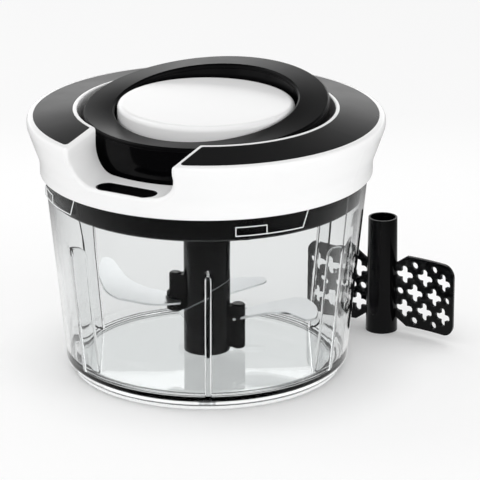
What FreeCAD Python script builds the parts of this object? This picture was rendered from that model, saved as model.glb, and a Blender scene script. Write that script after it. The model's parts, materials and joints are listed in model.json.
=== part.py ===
import FreeCAD, Part
import math
import os

# Pull-string food chopper: a clear bowl, a lid with a ring handle that pulls a cord off a sprung
# drum, a blade column driven by the drum's shaft, and a mixing paddle standing beside the bowl.
# Millimetres, +Z up. The origin is the middle of the bowl's underside. The finger trough under
# the ring handle's grip faces -Y.

V = FreeCAD.Vector

# Fits
running_gap = 0.05       # radial gap of a shaft or pin that turns in its bush
seat_gap = 0.1           # gap between faces that rest on each other
slip_gap = 0.35          # gap between parts that slide past each other freely
part_gap = 0.1           # gap between fixed parts of one assembly

# Bowl
bowl_height = 116.0
bowl_rim_radius = 90.6
bowl_taper = 5.66        # slope of its side, degrees from upright
bowl_side_start = 9.0
bowl_foot_inset = 4.4    # how far the foot stands in from the start of the side
bowl_foot_width = 5.7
bowl_wall = 2.4
bowl_floor_top = 7.0
bowl_floor = 3.0
bowl_corner = 6.0
bowl_foot_bulge = 0.9    # how far the outside corner swells beyond a straight line
fin_count = 6
fin_first_angle = 0.7
fin_thickness = 3.6
fin_depth = 8.4
fin_top = 83.5
fin_corner = 7.0
fin_edge_round = 1.1
post_radius = 6.6
post_height = 13.5
pin_radius = 3.0
pin_socket = 5.0         # height of the blind end of the pin's socket
base_pad_height = 1.6
base_tongue = 1.4
base_tongue_width = 2.0

# Bayonet between bowl and lid
lug_count = 4
lug_width_angle = 10.0
lug_height = 3.8
lug_depth = 1.4
lug_drop = 10.5          # from the bowl's rim down to a lug's underside
lug_first_angle = 328.5
lid_turn_angle = 13.0
pocket_entry_margin = 4.5

# Seal
seal_thickness = 2.0
seal_width = 2.25

# Lid shell: each height is a rise from the one before, from the skirt's lower edge up
skirt_overlap = 0.8      # how far the skirt reaches below the bowl's rim
skirt_gap = 0.6
skirt_wall = 1.8
shell_wall = 2.4
neck_rise = 3.8
flare_rise = 10.0
flare_out = 2.4          # how far out of the skirt the flare is at its height
shoulder_rise = 10.0
shoulder_out = 3.5
widest_rise = 5.0
widest_out = 1.1
lip_rise = 3.0
lip_in = 2.6
lip_round = 1.7
deck_rise = 4.1          # from the lip up to the recess rim
recess_gap = 3.4
recess_depth = 25.6
recess_floor = 2.0
recess_wall = 2.2
recess_edge = 0.6
deck_thickness = 3.4
boss_wall = 2.0
platform_overlap = 9.2   # how far the platform reaches in under the spring's housing

# Finger trough in the front of the lid
trough_half_width = 32.5
trough_corner = 14.0
trough_sill = 1.8            # height of its floor over the recess floor, where they meet
trough_floor_slope = 0.062   # fall of its floor towards the outside
trough_wall = 2.2
trough_edge_round = 2.0
slot_length = 37.0
slot_width = 12.4
slot_lip_margin = 3.8    # from the slot out to the lid's outer wall
slot_depth = 3.6
slot_hole_depth = 8.0     # cut through the ledge under the liner
slot_liner_wall = 1.2

# Grip pad
pad_inner_margin = 2.3
pad_outer_margin = 1.1
pad_end_margin = 2.9
pad_corner = 1.8
pad_thickness = 1.8

# Boss cap
cap_radius = 49.5
cap_height = 28.4        # of its top over the recess floor
cap_thickness = 2.2
cap_lift = 1.5
cap_round = 3.0

# Lid collar
collar_depth = 14.9      # from the bowl's rim down to its underside
collar_plate = 2.2
collar_wall = 2.0
collar_flange = 2.0
collar_hub_radius = 10.0
collar_hub_height = 6.9
collar_edge = 1.2
collar_screw_count = 4
tray_screw_inset = 10.0   # from the recess wall in to the tray's screws
shell_screw_out = 8.0     # from the recess wall out to the shell's screws
collar_pad_height = 4.9
collar_pad_radius = 5.6
collar_post_radius = 4.5

# Screws
screw_radius = 1.5
screw_head_radius = 2.8
screw_head_height = 2.2
screw_length = 14.0
screw_hole_gap = 0.2

# Shaft, dog and bushes
shaft_radius = 4.0
shaft_end = 2.0          # how far the shaft stands above its clip
bush_wall = 1.95
bush_flange = 0.45
bush_flange_width = 2.5
dog_drop = 1.2           # from the collar down to the top of the dog and of the column
dog_height = 13.9
dog_hub_radius = 6.0
dog_wing_radius = 8.8
dog_wing_thickness = 4.0
clip_thickness = 0.8
clip_radius = 6.5
clip_groove_depth = 0.8
washer_thickness = 0.6
washer_radius = 7.0

# Spool and cord
spool_flange_radius = 26.0
spool_core_radius = 13.5
spool_flange = 1.6
spool_width = 9.2
spool_neck_radius = 8.0
cord_radius = 1.1
winding_depth = 4.5
guide_pin_radius = 4.6
guide_pin_length = 9.6
guide_axle_radius = 2.4
cheek_thickness = 2.4
cheek_width = 8.0
outlet_flange = 0.4
outlet_flange_width = 1.5
outlet_wall = 1.5
outlet_bore_gap = 0.4

# Recoil spring and its housing
spring_cup_wall = 1.8
spring_cup_gap = 0.8
spring_strip = 0.5
spring_height = 10.0
spring_turns = 9
spring_end_gap = 0.2
spring_clearance = 0.8
arbor_wall = 4.6
arbor_gap = 0.4
cover_hub_height = 4.7
spring_screw_count = 3
spring_screw_radius = 1.1
spring_screw_head_radius = 2.0
spring_screw_head = 1.4
spring_screw_boss = 2.8

# Ring handle
ring_inner_gap = 1.6     # radial gap round the boss cap
ring_width = 17.5
ring_lift = 1.0          # of its underside over the recess floor
ring_wall = 2.2
ring_floor = 2.0
ring_inner_drop = 0.4    # mean height of the inner edge below the cap's top
ring_inner_rise = 7.9    # how much higher it is at the back
ring_outer_drop = 1.6
ring_outer_rise = 7.1
ring_outer_crown = 2.2   # extra height of front and back over the sides
cover_thickness = 2.4
cover_bevel = 1.0
cover_bevel_drop = 0.8
handle_screw_count = 4
handle_screw_first = 45.0
handle_post_radius = 3.4
handle_pad_radius = 4.4
handle_pad_height = 4.5
handle_screw_length = 9.0
anchor_radius = 3.2
anchor_height = 5.0

# Blade column
column_radius = 13.1
column_lift = 1.0        # of its lower end over the bowl's floor
sleeve_bore_gap = 0.5
sleeve_web = 4.0
seam_height = 40.7
seam_tilt = 37.3
seam_direction = 14.3
seam_gap = 0.4
seam_round = 0.6
spigot_wall = 3.5
spigot_head = 10.0       # how far the spigot reaches above the pin
spigot_end_gap = 2.0
pivot_bush_height = 22.0
pivot_bush_wall = 2.45
pivot_bush_gap = 1.5
drive_rib_gap = 0.7
drive_rib_width = 5.0
drive_rib_height = 14.0
drive_rib_inset = 2.0
pod_offset = 4.6          # from the column's side to a pod's axis
pod_radius = 4.1
upper_pod_radius = 3.6
upper_pod_foot_radius = 5.0
upper_pod_foot = 11.5     # length of its wide lower part
pod_edge = 0.9
pod_web = 6.0
upper_pod_length = 22.5
upper_pod_drop = 7.2     # from its blade down to its lower end
lower_pod_lift = 0.5
lower_pod_length = 26.5
rear_pod_length = 21.5
rivet_radius = 1.3
rivet_length = 11.0

# Blades
blade_thickness = 1.2
blade_lean = 11.3        # slope of a blade along its reach, degrees
blade_twist = 5.0        # slope across it
blade_reach = 62.8
blade_root = 14.6
upper_blade_height = 38.7
lower_blade_height = 26.5
rear_blade_height = 17.0
upper_blade_angle = 210.0
lower_blade_angle = 30.0
rear_blade_angle = 120.0

# Mixing paddle
paddle_clearance = 13.7  # from the lid's widest edge to the paddle's axis
paddle_direction = 56.59
paddle_height = 68.8
paddle_bottom_radius = 9.3
paddle_top_radius = 8.4
paddle_bore_gap = 0.4
paddle_socket_radius = 7.4
paddle_bore_depth = 34.0
paddle_web = 3.0
paddle_rib_depth = 2.8
paddle_rib_width = 2.4
paddle_rib_height = 14.0
paddle_rib_inset = 1.5
wing_thickness = 2.2
wing_curve_radius = 106.7
wing_length = 48.7
wing_angle = 9.1
wing_bottom = 4.2
wing_top = 47.0
wing_corner = 7.0
wing_neck = 4.6
cross_size = 10.9
cross_arm = 3.9
cross_pitch = 13.3
cross_rise = 10.3
cross_first = 14.4
cross_bottom = 15.0
cross_rows = (3, 2, 3)
dot_radius = 2.1
dot_offset = 16.9        # height of the outer dots above and below the middle row
dot_margin = 2.8         # how far the end dots lie beyond the end crosses

# Radii worked out from the sizes above
ring_inner_radius = cap_radius + ring_inner_gap
ring_outer_radius = ring_inner_radius + ring_width
ring_middle_radius = (ring_inner_radius + ring_outer_radius) / 2
recess_radius = ring_outer_radius + recess_gap
skirt_radius = bowl_rim_radius + skirt_gap + skirt_wall
flare_radius = skirt_radius + flare_out
shoulder_radius = flare_radius + shoulder_out
widest_radius = shoulder_radius + widest_out
lip_radius = widest_radius - lip_in
pad_inner_radius = recess_radius + pad_inner_margin
pad_outer_radius = lip_radius - pad_outer_margin
pad_gap_half_width = trough_half_width + pad_end_margin
slot_distance = flare_radius - slot_lip_margin - slot_width / 2
boss_radius = cap_radius - cap_thickness - part_gap
cup_radius = boss_radius + part_gap - boss_wall - spring_cup_gap
platform_radius = boss_radius - platform_overlap
tray_radius = recess_radius + recess_wall
tray_screw_circle = recess_radius - tray_screw_inset
shell_screw_circle = recess_radius + shell_screw_out
bush_radius = shaft_radius + running_gap + bush_wall
bush_flange_radius = bush_radius + bush_flange_width
cover_hub_radius = bush_flange_radius + bush_flange
clip_groove_radius = shaft_radius - clip_groove_depth
arbor_radius = shaft_radius + arbor_wall
spring_screw_circle = cup_radius - spring_screw_boss - spring_clearance / 2
winding_radius = spool_core_radius + winding_depth
cord_bore_radius = cord_radius + outlet_bore_gap
bend_radius = guide_pin_radius + cord_radius + seat_gap
run_radius = winding_radius + cord_radius + slip_gap
sleeve_bore_radius = dog_wing_radius + sleeve_bore_gap
drive_rib_inner = dog_hub_radius + drive_rib_gap
spigot_radius = pin_radius + running_gap + pivot_bush_wall + spigot_wall
pod_distance = column_radius + pod_offset
foot_radius = bowl_rim_radius - (bowl_height - bowl_side_start) * math.tan(math.radians(bowl_taper))
foot_radius = foot_radius - bowl_foot_inset

# Heights worked out from the sizes above
deck_slope = deck_rise / (lip_radius - recess_radius)
seal_bottom = bowl_height + seat_gap
seal_top = seal_bottom + seal_thickness
collar_bottom = bowl_height - collar_depth
collar_plate_top = collar_bottom + collar_plate
post_bottom = collar_bottom + collar_pad_height
collar_hub_top = collar_bottom + collar_hub_height
flange_bottom = seal_top + seat_gap
flange_top = flange_bottom + collar_flange
lug_bottom = bowl_height - lug_drop
skirt_bottom = bowl_height - skirt_overlap
neck_height = skirt_bottom + neck_rise
flare_height = neck_height + flare_rise
shoulder_height = flare_height + shoulder_rise
widest_height = shoulder_height + widest_rise
lip_height = widest_height + lip_rise
recess_rim_height = lip_height + deck_rise
recess_floor_top = recess_rim_height - recess_depth
platform_bottom = recess_floor_top - recess_floor
cap_top = recess_floor_top + cap_height
cap_bottom = recess_floor_top + cap_lift
ring_bottom = recess_floor_top + ring_lift
spool_bottom = collar_hub_top + bush_flange + part_gap
spool_top = spool_bottom + 2 * spool_flange + spool_width
cord_height = spool_bottom + spool_flange + cord_radius + 0.6
outlet_top = recess_floor_top + outlet_flange
cup_floor_top = recess_floor_top + spring_cup_wall
cup_top = cup_floor_top + spring_height + 2 * spring_clearance
cover_top = cup_top + spring_cup_wall
cover_hub_top = cover_top + cover_hub_height
washer_bottom = cover_hub_top + bush_flange + part_gap
clip_bottom = washer_bottom + washer_thickness + part_gap
shaft_top = clip_bottom + clip_thickness + shaft_end
column_top = collar_bottom - dog_drop
dog_top = column_top
shaft_bottom = dog_top - dog_height
column_bottom = bowl_floor_top + column_lift
pivot_bush_bottom = bowl_floor_top + post_height + pivot_bush_gap
pin_top = pivot_bush_bottom + pivot_bush_height + spigot_end_gap
spigot_top = pin_top + spigot_head
sleeve_web_bottom = spigot_top + spigot_end_gap
upper_pod_bottom = upper_blade_height - upper_pod_drop
upper_pod_top = upper_pod_bottom + upper_pod_length
lower_pod_bottom = column_bottom + lower_pod_lift
lower_pod_top = lower_pod_bottom + lower_pod_length
rear_pod_top = lower_pod_bottom + rear_pod_length
paddle_distance = widest_radius + paddle_clearance
paddle_x = paddle_distance * math.cos(math.radians(paddle_direction))
paddle_y = paddle_distance * math.sin(math.radians(paddle_direction))


def bowl_outside(height):
    """Outside radius of the bowl's straight side at a height."""
    return bowl_rim_radius - (bowl_height - height) * math.tan(math.radians(bowl_taper))


def bowl_inside(height):
    """Inside radius of the bowl's straight side at a height."""
    return bowl_outside(height) - bowl_wall


def collar_outside(height):
    """Outside radius of the lid collar's wall, which follows the bowl's inside."""
    return bowl_inside(height) - slip_gap


def deck_height(radius):
    """Height of the sloping top of the lid, under or beside the grip pad."""
    return recess_rim_height - deck_slope * (radius - recess_radius)


def trough_floor(distance):
    """Height of the finger trough's floor at a distance in front of the axis."""
    return recess_floor_top + trough_sill - trough_floor_slope * (distance - recess_radius)


def handle_top(radius, angle):
    """Height of the ring handle's sloping top at a radius and an angle in degrees."""
    back = math.sin(math.radians(angle))
    inner = cap_top - ring_inner_drop + ring_inner_rise * back
    outer = cap_top - ring_outer_drop + ring_outer_rise * back + ring_outer_crown * back * back
    share = (radius - ring_inner_radius) / (ring_outer_radius - ring_inner_radius)
    return inner + share * (outer - inner)


def turned(shape, angle, axis_x=0.0, axis_y=0.0):
    """Copy of a shape turned about a vertical axis."""
    copy = shape.copy()
    copy.rotate(V(axis_x, axis_y, 0), V(0, 0, 1), angle)
    return copy


def moved(shape, x=0.0, y=0.0, z=0.0):
    """Copy of a shape moved along the axes."""
    copy = shape.copy()
    copy.translate(V(x, y, z))
    return copy


def joined(shapes):
    """One clean solid from shapes that overlap or touch."""
    return shapes[0].multiFuse(shapes[1:]).removeSplitter()


def cylinder(radius, bottom, top, x=0.0, y=0.0):
    """Upright cylinder."""
    return Part.makeCylinder(radius, top - bottom, V(x, y, bottom))


def tube(inner, outer, bottom, top, x=0.0, y=0.0):
    """Upright tube."""
    return cylinder(outer, bottom, top, x, y).cut(cylinder(inner, bottom - 1, top + 1, x, y))


def block(x0, x1, y0, y1, z0, z1):
    """Box between two corners."""
    return Part.makeBox(x1 - x0, y1 - y0, z1 - z0, V(x0, y0, z0))


def outline(start, steps, place):
    """Closed face from a start point and steps.

    A step is a point for a line, a tuple of two points for an arc through the first, or a list of
    points for a smooth curve that leaves upright and ends along the lid's sloping top.
    """
    edges = []
    here = start
    for step in steps + [start]:
        if isinstance(step, list):
            there = step[-1]
            curve = Part.BSplineCurve()
            curve.interpolate(Points=[place(*point) for point in [here] + step],
                              InitialTangent=place(0, 1), FinalTangent=place(-1, deck_slope))
            edges.append(curve.toShape())
        elif isinstance(step[0], tuple):
            middle, there = step
            edges.append(Part.Arc(place(*here), place(*middle), place(*there)).toShape())
        else:
            there = step
            edges.append(Part.LineSegment(place(*here), place(*there)).toShape())
        here = there
    return Part.Face(Part.Wire(edges))


def spun(start, steps, first_angle=0.0, sweep=360.0):
    """Solid swept about the vertical axis by an outline of (radius, height) points."""
    face = outline(start, steps, lambda radius, height: V(radius, 0, height))
    return turned(face.revolve(V(0, 0, 0), V(0, 0, 1), sweep), first_angle)


def plate(start, steps, bottom, top):
    """Flat plate with an outline of (x, y) points."""
    face = outline(start, steps, lambda x, y: V(x, y, bottom))
    return face.extrude(V(0, 0, top - bottom))


def ring_loop(radius, height_at, stations=24):
    """Closed curve round the vertical axis, whose height is a function of the angle."""
    points = []
    for station in range(stations):
        angle = 360.0 * station / stations
        turn = math.radians(angle)
        points.append(V(radius * math.cos(turn), radius * math.sin(turn), height_at(angle)))
    curve = Part.BSplineCurve()
    curve.interpolate(Points=points, PeriodicFlag=True)
    return curve.toShape()


def ring_solid(loops):
    """Closed ring bounded by ruled faces from each loop to the next."""
    faces = []
    for index, loop in enumerate(loops):
        faces.append(Part.makeRuledSurface(loop, loops[(index + 1) % len(loops)]))
    solid = Part.Solid(Part.Shell(faces))
    if solid.Volume < 0:
        solid.reverse()
    return solid


def screw(x, y, head_bottom, radius, head_radius, head_height, length, upward=True):
    """Pan-head screw with a round drive hollow; its tip points up, or down if upward is False."""
    edge = head_height * 0.3
    head = Part.makeCone(head_radius - edge, head_radius, edge, V(0, 0, 0))
    head = head.fuse(cylinder(head_radius, edge, head_height))
    shank = cylinder(radius, head_height, head_height + length)
    tip = Part.makeCone(radius, radius * 0.3, radius, V(0, 0, head_height + length))
    drive = cylinder(radius * 0.85, -1, head_height * 0.55)
    whole = joined([head, shank, tip]).cut(drive)
    if not upward:
        whole.rotate(V(0, 0, 0), V(1, 0, 0), 180)
    return moved(whole, x, y, head_bottom)


def on_circle(count, radius, first_angle):
    """Points evenly spaced on a circle."""
    points = []
    for index in range(count):
        turn = math.radians(first_angle + 360.0 * index / count)
        points.append((radius * math.cos(turn), radius * math.sin(turn)))
    return points


def make_bowl():
    """Clear bowl with fins, pin post, pad groove and bayonet pockets."""
    foot_inner = foot_radius - bowl_foot_width
    side_radius = bowl_outside(bowl_side_start)
    underside = bowl_floor_top - bowl_floor
    corner_top = bowl_floor_top + bowl_corner
    inner_low = bowl_inside(corner_top)
    ease = bowl_corner * (1 - math.sqrt(0.5))
    corner_x = (foot_radius + side_radius) / 2 + bowl_foot_bulge
    corner_z = (base_pad_height + bowl_side_start) / 2 - bowl_foot_bulge
    shell = spun((0, underside), [
        (foot_inner, underside),
        (foot_inner, base_pad_height),
        (foot_radius, base_pad_height),
        ((corner_x, corner_z), (side_radius, bowl_side_start)),
        (bowl_rim_radius, bowl_height),
        (bowl_inside(bowl_height), bowl_height),
        (inner_low, corner_top),
        ((inner_low - ease, bowl_floor_top + ease), (inner_low - bowl_corner, bowl_floor_top)),
        (0, bowl_floor_top),
    ])
    pieces = [shell, cylinder(post_radius, bowl_floor_top - 1, bowl_floor_top + post_height)]
    fin_profile = fin_outline(fin_top)
    for index in range(fin_count):
        pieces.append(turned(fin_profile, fin_first_angle + 360.0 * index / fin_count))
    bowl = joined(pieces)
    bowl = bowl.cut(cylinder(pin_radius, pin_socket, bowl_floor_top + post_height + 1))
    tongue = base_tongue_width / 2 + part_gap
    middle = foot_radius - bowl_foot_width / 2
    groove_top = base_pad_height + base_tongue + part_gap
    bowl = bowl.cut(tube(middle - tongue, middle + tongue, base_pad_height - 1, groove_top))
    for index in range(lug_count):
        bowl = bowl.cut(turned(make_pocket(), 360.0 * index / lug_count))
    return bowl


def fin_outline(top):
    """One upright fin standing in from the bowl's side, at angle zero."""
    low = bowl_floor_top - bowl_floor / 2
    inner_low = bowl_inside(low) - fin_depth
    inner_top = bowl_inside(top) - fin_depth
    buried = bowl_wall / 2
    ease = fin_corner * (1 - math.sqrt(0.5))
    face = outline((inner_low, low), [
        (bowl_inside(low + bowl_corner) - bowl_corner / 2, low),
        (bowl_inside(low + bowl_corner) + buried, low + bowl_corner),
        (bowl_inside(top) + buried, top),
        (inner_top + fin_corner, top),
        ((inner_top + ease, top - ease), (bowl_inside(top - fin_corner) - fin_depth, top - fin_corner)),
    ], lambda radius, height: V(radius, -fin_thickness / 2, height))
    fin = face.extrude(V(0, fin_thickness, 0))
    return fin.makeFillet(fin_edge_round, [edge for edge in fin.Edges if is_fin_edge(edge)])


def is_fin_edge(edge):
    """True for a fin's long edge that stands free in the bowl."""
    middle = edge.valueAt((edge.FirstParameter + edge.LastParameter) / 2)
    across = abs(edge.Vertexes[0].Y - edge.Vertexes[-1].Y) > fin_thickness / 2
    return not across and middle.z > bowl_floor_top and middle.x < bowl_inside(middle.z)


def make_pocket():
    """Space cut in the bowl's rim for one lug: a way down and a way round to the lock."""
    low = lug_bottom - slip_gap
    high = lug_bottom + lug_height + slip_gap
    start = bowl_inside(low) - lug_depth
    entry_first = lug_first_angle - lug_width_angle / 2 - pocket_entry_margin / 2
    entry_sweep = lug_width_angle + pocket_entry_margin * 1.6
    lock_first = lug_first_angle - lug_width_angle / 2 - lid_turn_angle - 0.5
    lock_sweep = entry_first - lock_first + 1
    entry = spun((start, low), [
        (bowl_inside(low) + lug_depth, low),
        (bowl_inside(bowl_height + 1) + lug_depth, bowl_height + 1),
        (start, bowl_height + 1),
    ], entry_first, entry_sweep)
    lock = spun((start, low), [
        (bowl_inside(low) + lug_depth, low),
        (bowl_inside(high) + lug_depth, high),
        (start, high),
    ], lock_first, lock_sweep)
    return entry.fuse(lock)


def make_bowl_pivot_pin():
    """Steel pin in the bowl's post, with a rounded top."""
    dome = pin_radius / 2
    body = cylinder(pin_radius, pin_socket, pin_top - dome)
    tip = Part.makeCone(pin_radius, pin_radius * 0.55, dome, V(0, 0, pin_top - dome))
    return joined([body, tip])


def make_base_pad():
    """Clear non-slip pad under the bowl, held by a tongue in a groove of the foot."""
    middle = foot_radius - bowl_foot_width / 2
    half = base_tongue_width / 2
    disc = cylinder(foot_radius, 0, base_pad_height)
    tongue_top = base_pad_height + base_tongue
    return joined([disc, tube(middle - half, middle + half, base_pad_height - 0.5, tongue_top)])


def make_lid_seal():
    """Flat silicone ring between the bowl's rim and the lid collar's flange."""
    outer = bowl_rim_radius - part_gap
    return tube(outer - seal_width, outer, seal_bottom, seal_top)


def shell_outside():
    """Outer profile of the lid shell, from its skirt up and over to the recess."""
    return [
        (skirt_radius, neck_height),
        [
            (flare_radius, flare_height),
            (shoulder_radius, shoulder_height),
            (widest_radius, widest_height),
            (lip_radius + lip_round, lip_height - lip_round / 4),
            (lip_radius, lip_height),
        ],
        (recess_radius + recess_edge, deck_height(recess_radius + recess_edge)),
        (recess_radius, recess_rim_height - recess_edge),
    ]


def make_lid_shell():
    """White lid shell: flared wall, sloping deck, recess wall, finger trough and screw posts."""
    wall = shell_wall
    skirt_inner = skirt_radius - skirt_wall
    shell = spun((skirt_radius, skirt_bottom), shell_outside() + [
        (recess_radius, recess_floor_top),
        (tray_radius, recess_floor_top),
        (tray_radius, deck_height(tray_radius) - deck_thickness),
        (widest_radius - 2 * wall, deck_height(widest_radius - 2 * wall) - deck_thickness),
        (shoulder_radius - wall, shoulder_height),
        (flare_radius - wall, flare_height),
        (skirt_inner, neck_height),
        (skirt_inner, skirt_bottom),
    ])
    envelope = spun((recess_radius, skirt_bottom), [(skirt_radius, skirt_bottom)] + shell_outside())
    pieces = [shell, trough_body(trough_wall).common(envelope)]
    for x, y in on_circle(collar_screw_count, shell_screw_circle, 45):
        pieces.append(cylinder(collar_post_radius, post_bottom, deck_height(shell_screw_circle), x, y))
    shell = round_trough_edges(joined(pieces).cut(trough_body(0.0)))
    shell = shell.cut(make_pad_body(part_gap)).cut(slot_body(0.0, slot_hole_depth))
    for x, y in on_circle(collar_screw_count, shell_screw_circle, 45):
        shell = shell.cut(cylinder(screw_radius, post_bottom - 1, post_bottom + screw_length, x, y))
    return shell


def make_lid_tray():
    """Black tray inside the lid: recess floor, wall under the boss cap, legs and screw holes."""
    tray = spun((platform_radius, platform_bottom), [
        (tray_radius, platform_bottom),
        (tray_radius, recess_floor_top),
        (boss_radius, recess_floor_top),
        (boss_radius, cap_top - cap_thickness),
        (boss_radius - boss_wall, cap_top - cap_thickness),
        (boss_radius - boss_wall, recess_floor_top),
        (platform_radius, recess_floor_top),
    ])
    legs = []
    for x, y in on_circle(collar_screw_count, tray_screw_circle, 45):
        legs.append(cylinder(collar_post_radius, post_bottom, platform_bottom + recess_floor / 2, x, y))
    tray = joined([tray] + legs).cut(trough_body(trough_wall + part_gap))
    for x, y in on_circle(collar_screw_count, tray_screw_circle, 45):
        tray = tray.cut(cylinder(screw_radius, post_bottom - 1, post_bottom + screw_length, x, y))
    for x, y in on_circle(spring_screw_count, spring_screw_circle, 90):
        tray = tray.cut(cylinder(spring_screw_radius, platform_bottom - 1, recess_floor_top + 1, x, y))
    outlet = cord_bore_radius + outlet_wall
    return tray.cut(cylinder(outlet, platform_bottom - 1, recess_floor_top + 1, 0, -ring_middle_radius))


def round_trough_edges(shell):
    """Shell with the trough's edges rounded where they meet the lid's outer wall and its top."""
    surface = trough_body(0.0).Shells[0]
    edges = []
    for edge in shell.Edges:
        middle = edge.valueAt((edge.FirstParameter + edge.LastParameter) / 2)
        on_trough = surface.distToShape(Part.Vertex(middle))[0] < 0.01
        if on_trough and math.hypot(middle.x, middle.y) > skirt_radius - trough_edge_round / 4:
            edges.append(edge)
    return shell.makeFillet(trough_edge_round, edges)


def trough_body(wall):
    """Space of the finger trough, grown by a wall; its floor falls towards the front."""
    start = ring_middle_radius
    half = trough_half_width + wall
    corner = trough_corner + wall
    floor = trough_floor(start) - wall
    top = recess_rim_height + 12
    ease = corner * (1 - math.sqrt(0.5))
    face = outline((-half, top), [
        (-half, floor + corner),
        ((ease - half, floor + ease), (corner - half, floor)),
        (half - corner, floor),
        ((half - ease, floor + ease), (half, floor + corner)),
        (half, top),
    ], lambda x, z: V(x, -start, z))
    reach = widest_radius + 10 - start
    drop = trough_floor(start) - trough_floor(start + reach)
    return face.extrude(V(0, -reach, -drop))


def slot_body(gap, depth):
    """Long round-ended body standing in the trough's ledge, smaller all round by a gap."""
    half = slot_length / 2 - gap
    radius = slot_width / 2 - gap
    top = trough_floor(slot_distance) + 4
    bottom = trough_floor(slot_distance) - depth
    body = plate((half - radius, -radius), [
        ((half, 0), (half - radius, radius)),
        (radius - half, radius),
        ((-half, 0), (radius - half, -radius)),
    ], bottom, top)
    return moved(body, 0, -slot_distance, 0)


def make_slot_liner():
    """Black dish that lines the slot; its rim follows the ledge's slope."""
    outer = slot_body(part_gap, slot_depth)
    inner = slot_body(part_gap + slot_liner_wall, slot_depth - slot_liner_wall)
    return outer.cut(inner).cut(moved(trough_body(0.0), 0, 0, -0.3))


def round_upright_edges(body, radius):
    """Body with its straight upright edges rounded."""
    edges = []
    for edge in body.Edges:
        first, last = edge.Vertexes[0].Point, edge.Vertexes[-1].Point
        if len(edge.Vertexes) == 2 and math.hypot(last.x - first.x, last.y - first.y) < 0.001:
            edges.append(edge)
    return body.makeFillet(radius, edges)


def make_pad_body(gap):
    """Sloping C-shaped pad between the recess and the lip, grown by a gap."""
    inner = pad_inner_radius - gap
    outer = pad_outer_radius + gap
    lift = 0.0 if gap == 0 else 3.0
    ring = spun((inner, deck_height(inner) - pad_thickness), [
        (outer, deck_height(outer) - pad_thickness),
        (outer, deck_height(outer) + lift),
        (inner, deck_height(inner) + lift),
    ])
    half = pad_gap_half_width - gap
    body = ring.cut(block(-half, half, -widest_radius - 10, 0, 0, cap_top + 20))
    return round_upright_edges(body, pad_corner + gap)


def make_boss_cap():
    """White cap over the middle of the lid, with a rounded edge."""
    ease = cap_round * (1 - math.sqrt(0.5))
    inner = cap_radius - cap_thickness
    return spun((0, cap_top), [
        (cap_radius - cap_round, cap_top),
        ((cap_radius - ease, cap_top - ease), (cap_radius, cap_top - cap_round)),
        (cap_radius, cap_bottom),
        (inner, cap_bottom),
        (inner, cap_top - cap_thickness),
        (0, cap_top - cap_thickness),
    ])


def make_lid_collar():
    """Black underside of the lid: plate, wall, flange, lugs, bush hub and cord guide cheeks."""
    top_inner = collar_outside(flange_bottom) - collar_wall
    plate_edge = collar_outside(collar_plate_top) - collar_wall
    body = spun((bush_radius, collar_bottom), [
        (collar_outside(collar_bottom) - collar_edge, collar_bottom),
        (collar_outside(collar_bottom + collar_edge), collar_bottom + collar_edge),
        (collar_outside(flange_bottom), flange_bottom),
        (bowl_rim_radius, flange_bottom),
        (bowl_rim_radius, flange_top),
        (top_inner, flange_top),
        (plate_edge, collar_plate_top),
        (collar_hub_radius, collar_plate_top),
        (collar_hub_radius, collar_hub_top),
        (bush_radius, collar_hub_top),
    ])
    pieces = [body]
    for index in range(lug_count):
        pieces.append(turned(make_lug(), 360.0 * index / lug_count))
    screw_places = []
    for circle in (tray_screw_circle, shell_screw_circle):
        screw_places += on_circle(collar_screw_count, circle, 45)
    for x, y in screw_places:
        pieces.append(cylinder(collar_pad_radius, collar_bottom, post_bottom, x, y))
    pin_y, pin_z = guide_pin_place()
    half = guide_pin_length / 2
    cheek = block(half, half + cheek_thickness, pin_y - cheek_width / 2, pin_y + cheek_width / 2,
                  collar_plate_top - 0.5, pin_z + guide_pin_radius - 1)
    pieces.append(cheek)
    pieces.append(turned(cheek, 180, 0, pin_y))
    collar = joined(pieces).cut(level_cylinder(guide_axle_radius, 3 * guide_pin_length, pin_y, pin_z))
    sunk = collar_bottom + screw_head_height + seat_gap
    for x, y in screw_places:
        collar = collar.cut(cylinder(screw_head_radius + screw_hole_gap, collar_bottom - 1, sunk, x, y))
        collar = collar.cut(cylinder(screw_radius + screw_hole_gap, collar_bottom, post_bottom + 1, x, y))
    return collar


def make_lug():
    """One bayonet lug standing out of the collar's wall."""
    low = lug_bottom
    high = lug_bottom + lug_height
    reach = lug_depth - slip_gap
    return spun((collar_outside(low) - 0.5, low), [
        (bowl_inside(low) + reach, low),
        (bowl_inside(high) + reach, high),
        (collar_outside(high) - 0.5, high),
    ], lug_first_angle - lug_width_angle / 2, lug_width_angle)


def guide_pin_place():
    """Distance along Y and height of the cord guide pin's axis."""
    return -(ring_middle_radius - bend_radius), cord_height + bend_radius


def level_cylinder(radius, length, y, z):
    """Cylinder lying along X, its middle above or beside the axis."""
    return Part.makeCylinder(radius, length, V(-length / 2, y, z), V(1, 0, 0))


def make_cord_guide_pin():
    """Fixed steel pin that the cord bends round on its way up to the handle."""
    pin_y, pin_z = guide_pin_place()
    return joined([
        level_cylinder(guide_pin_radius, guide_pin_length, pin_y, pin_z),
        level_cylinder(guide_axle_radius, guide_pin_length + 2 * cheek_thickness, pin_y, pin_z),
    ])


def make_cord_outlet_bush():
    """Metal eyelet in the recess floor that the cord comes out of."""
    outer = cord_bore_radius + outlet_wall
    body = tube(cord_bore_radius, outer, platform_bottom, recess_floor_top, 0, -ring_middle_radius)
    flange = tube(cord_bore_radius, outer + outlet_flange_width, recess_floor_top, outlet_top,
                  0, -ring_middle_radius)
    return joined([body, flange])


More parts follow.
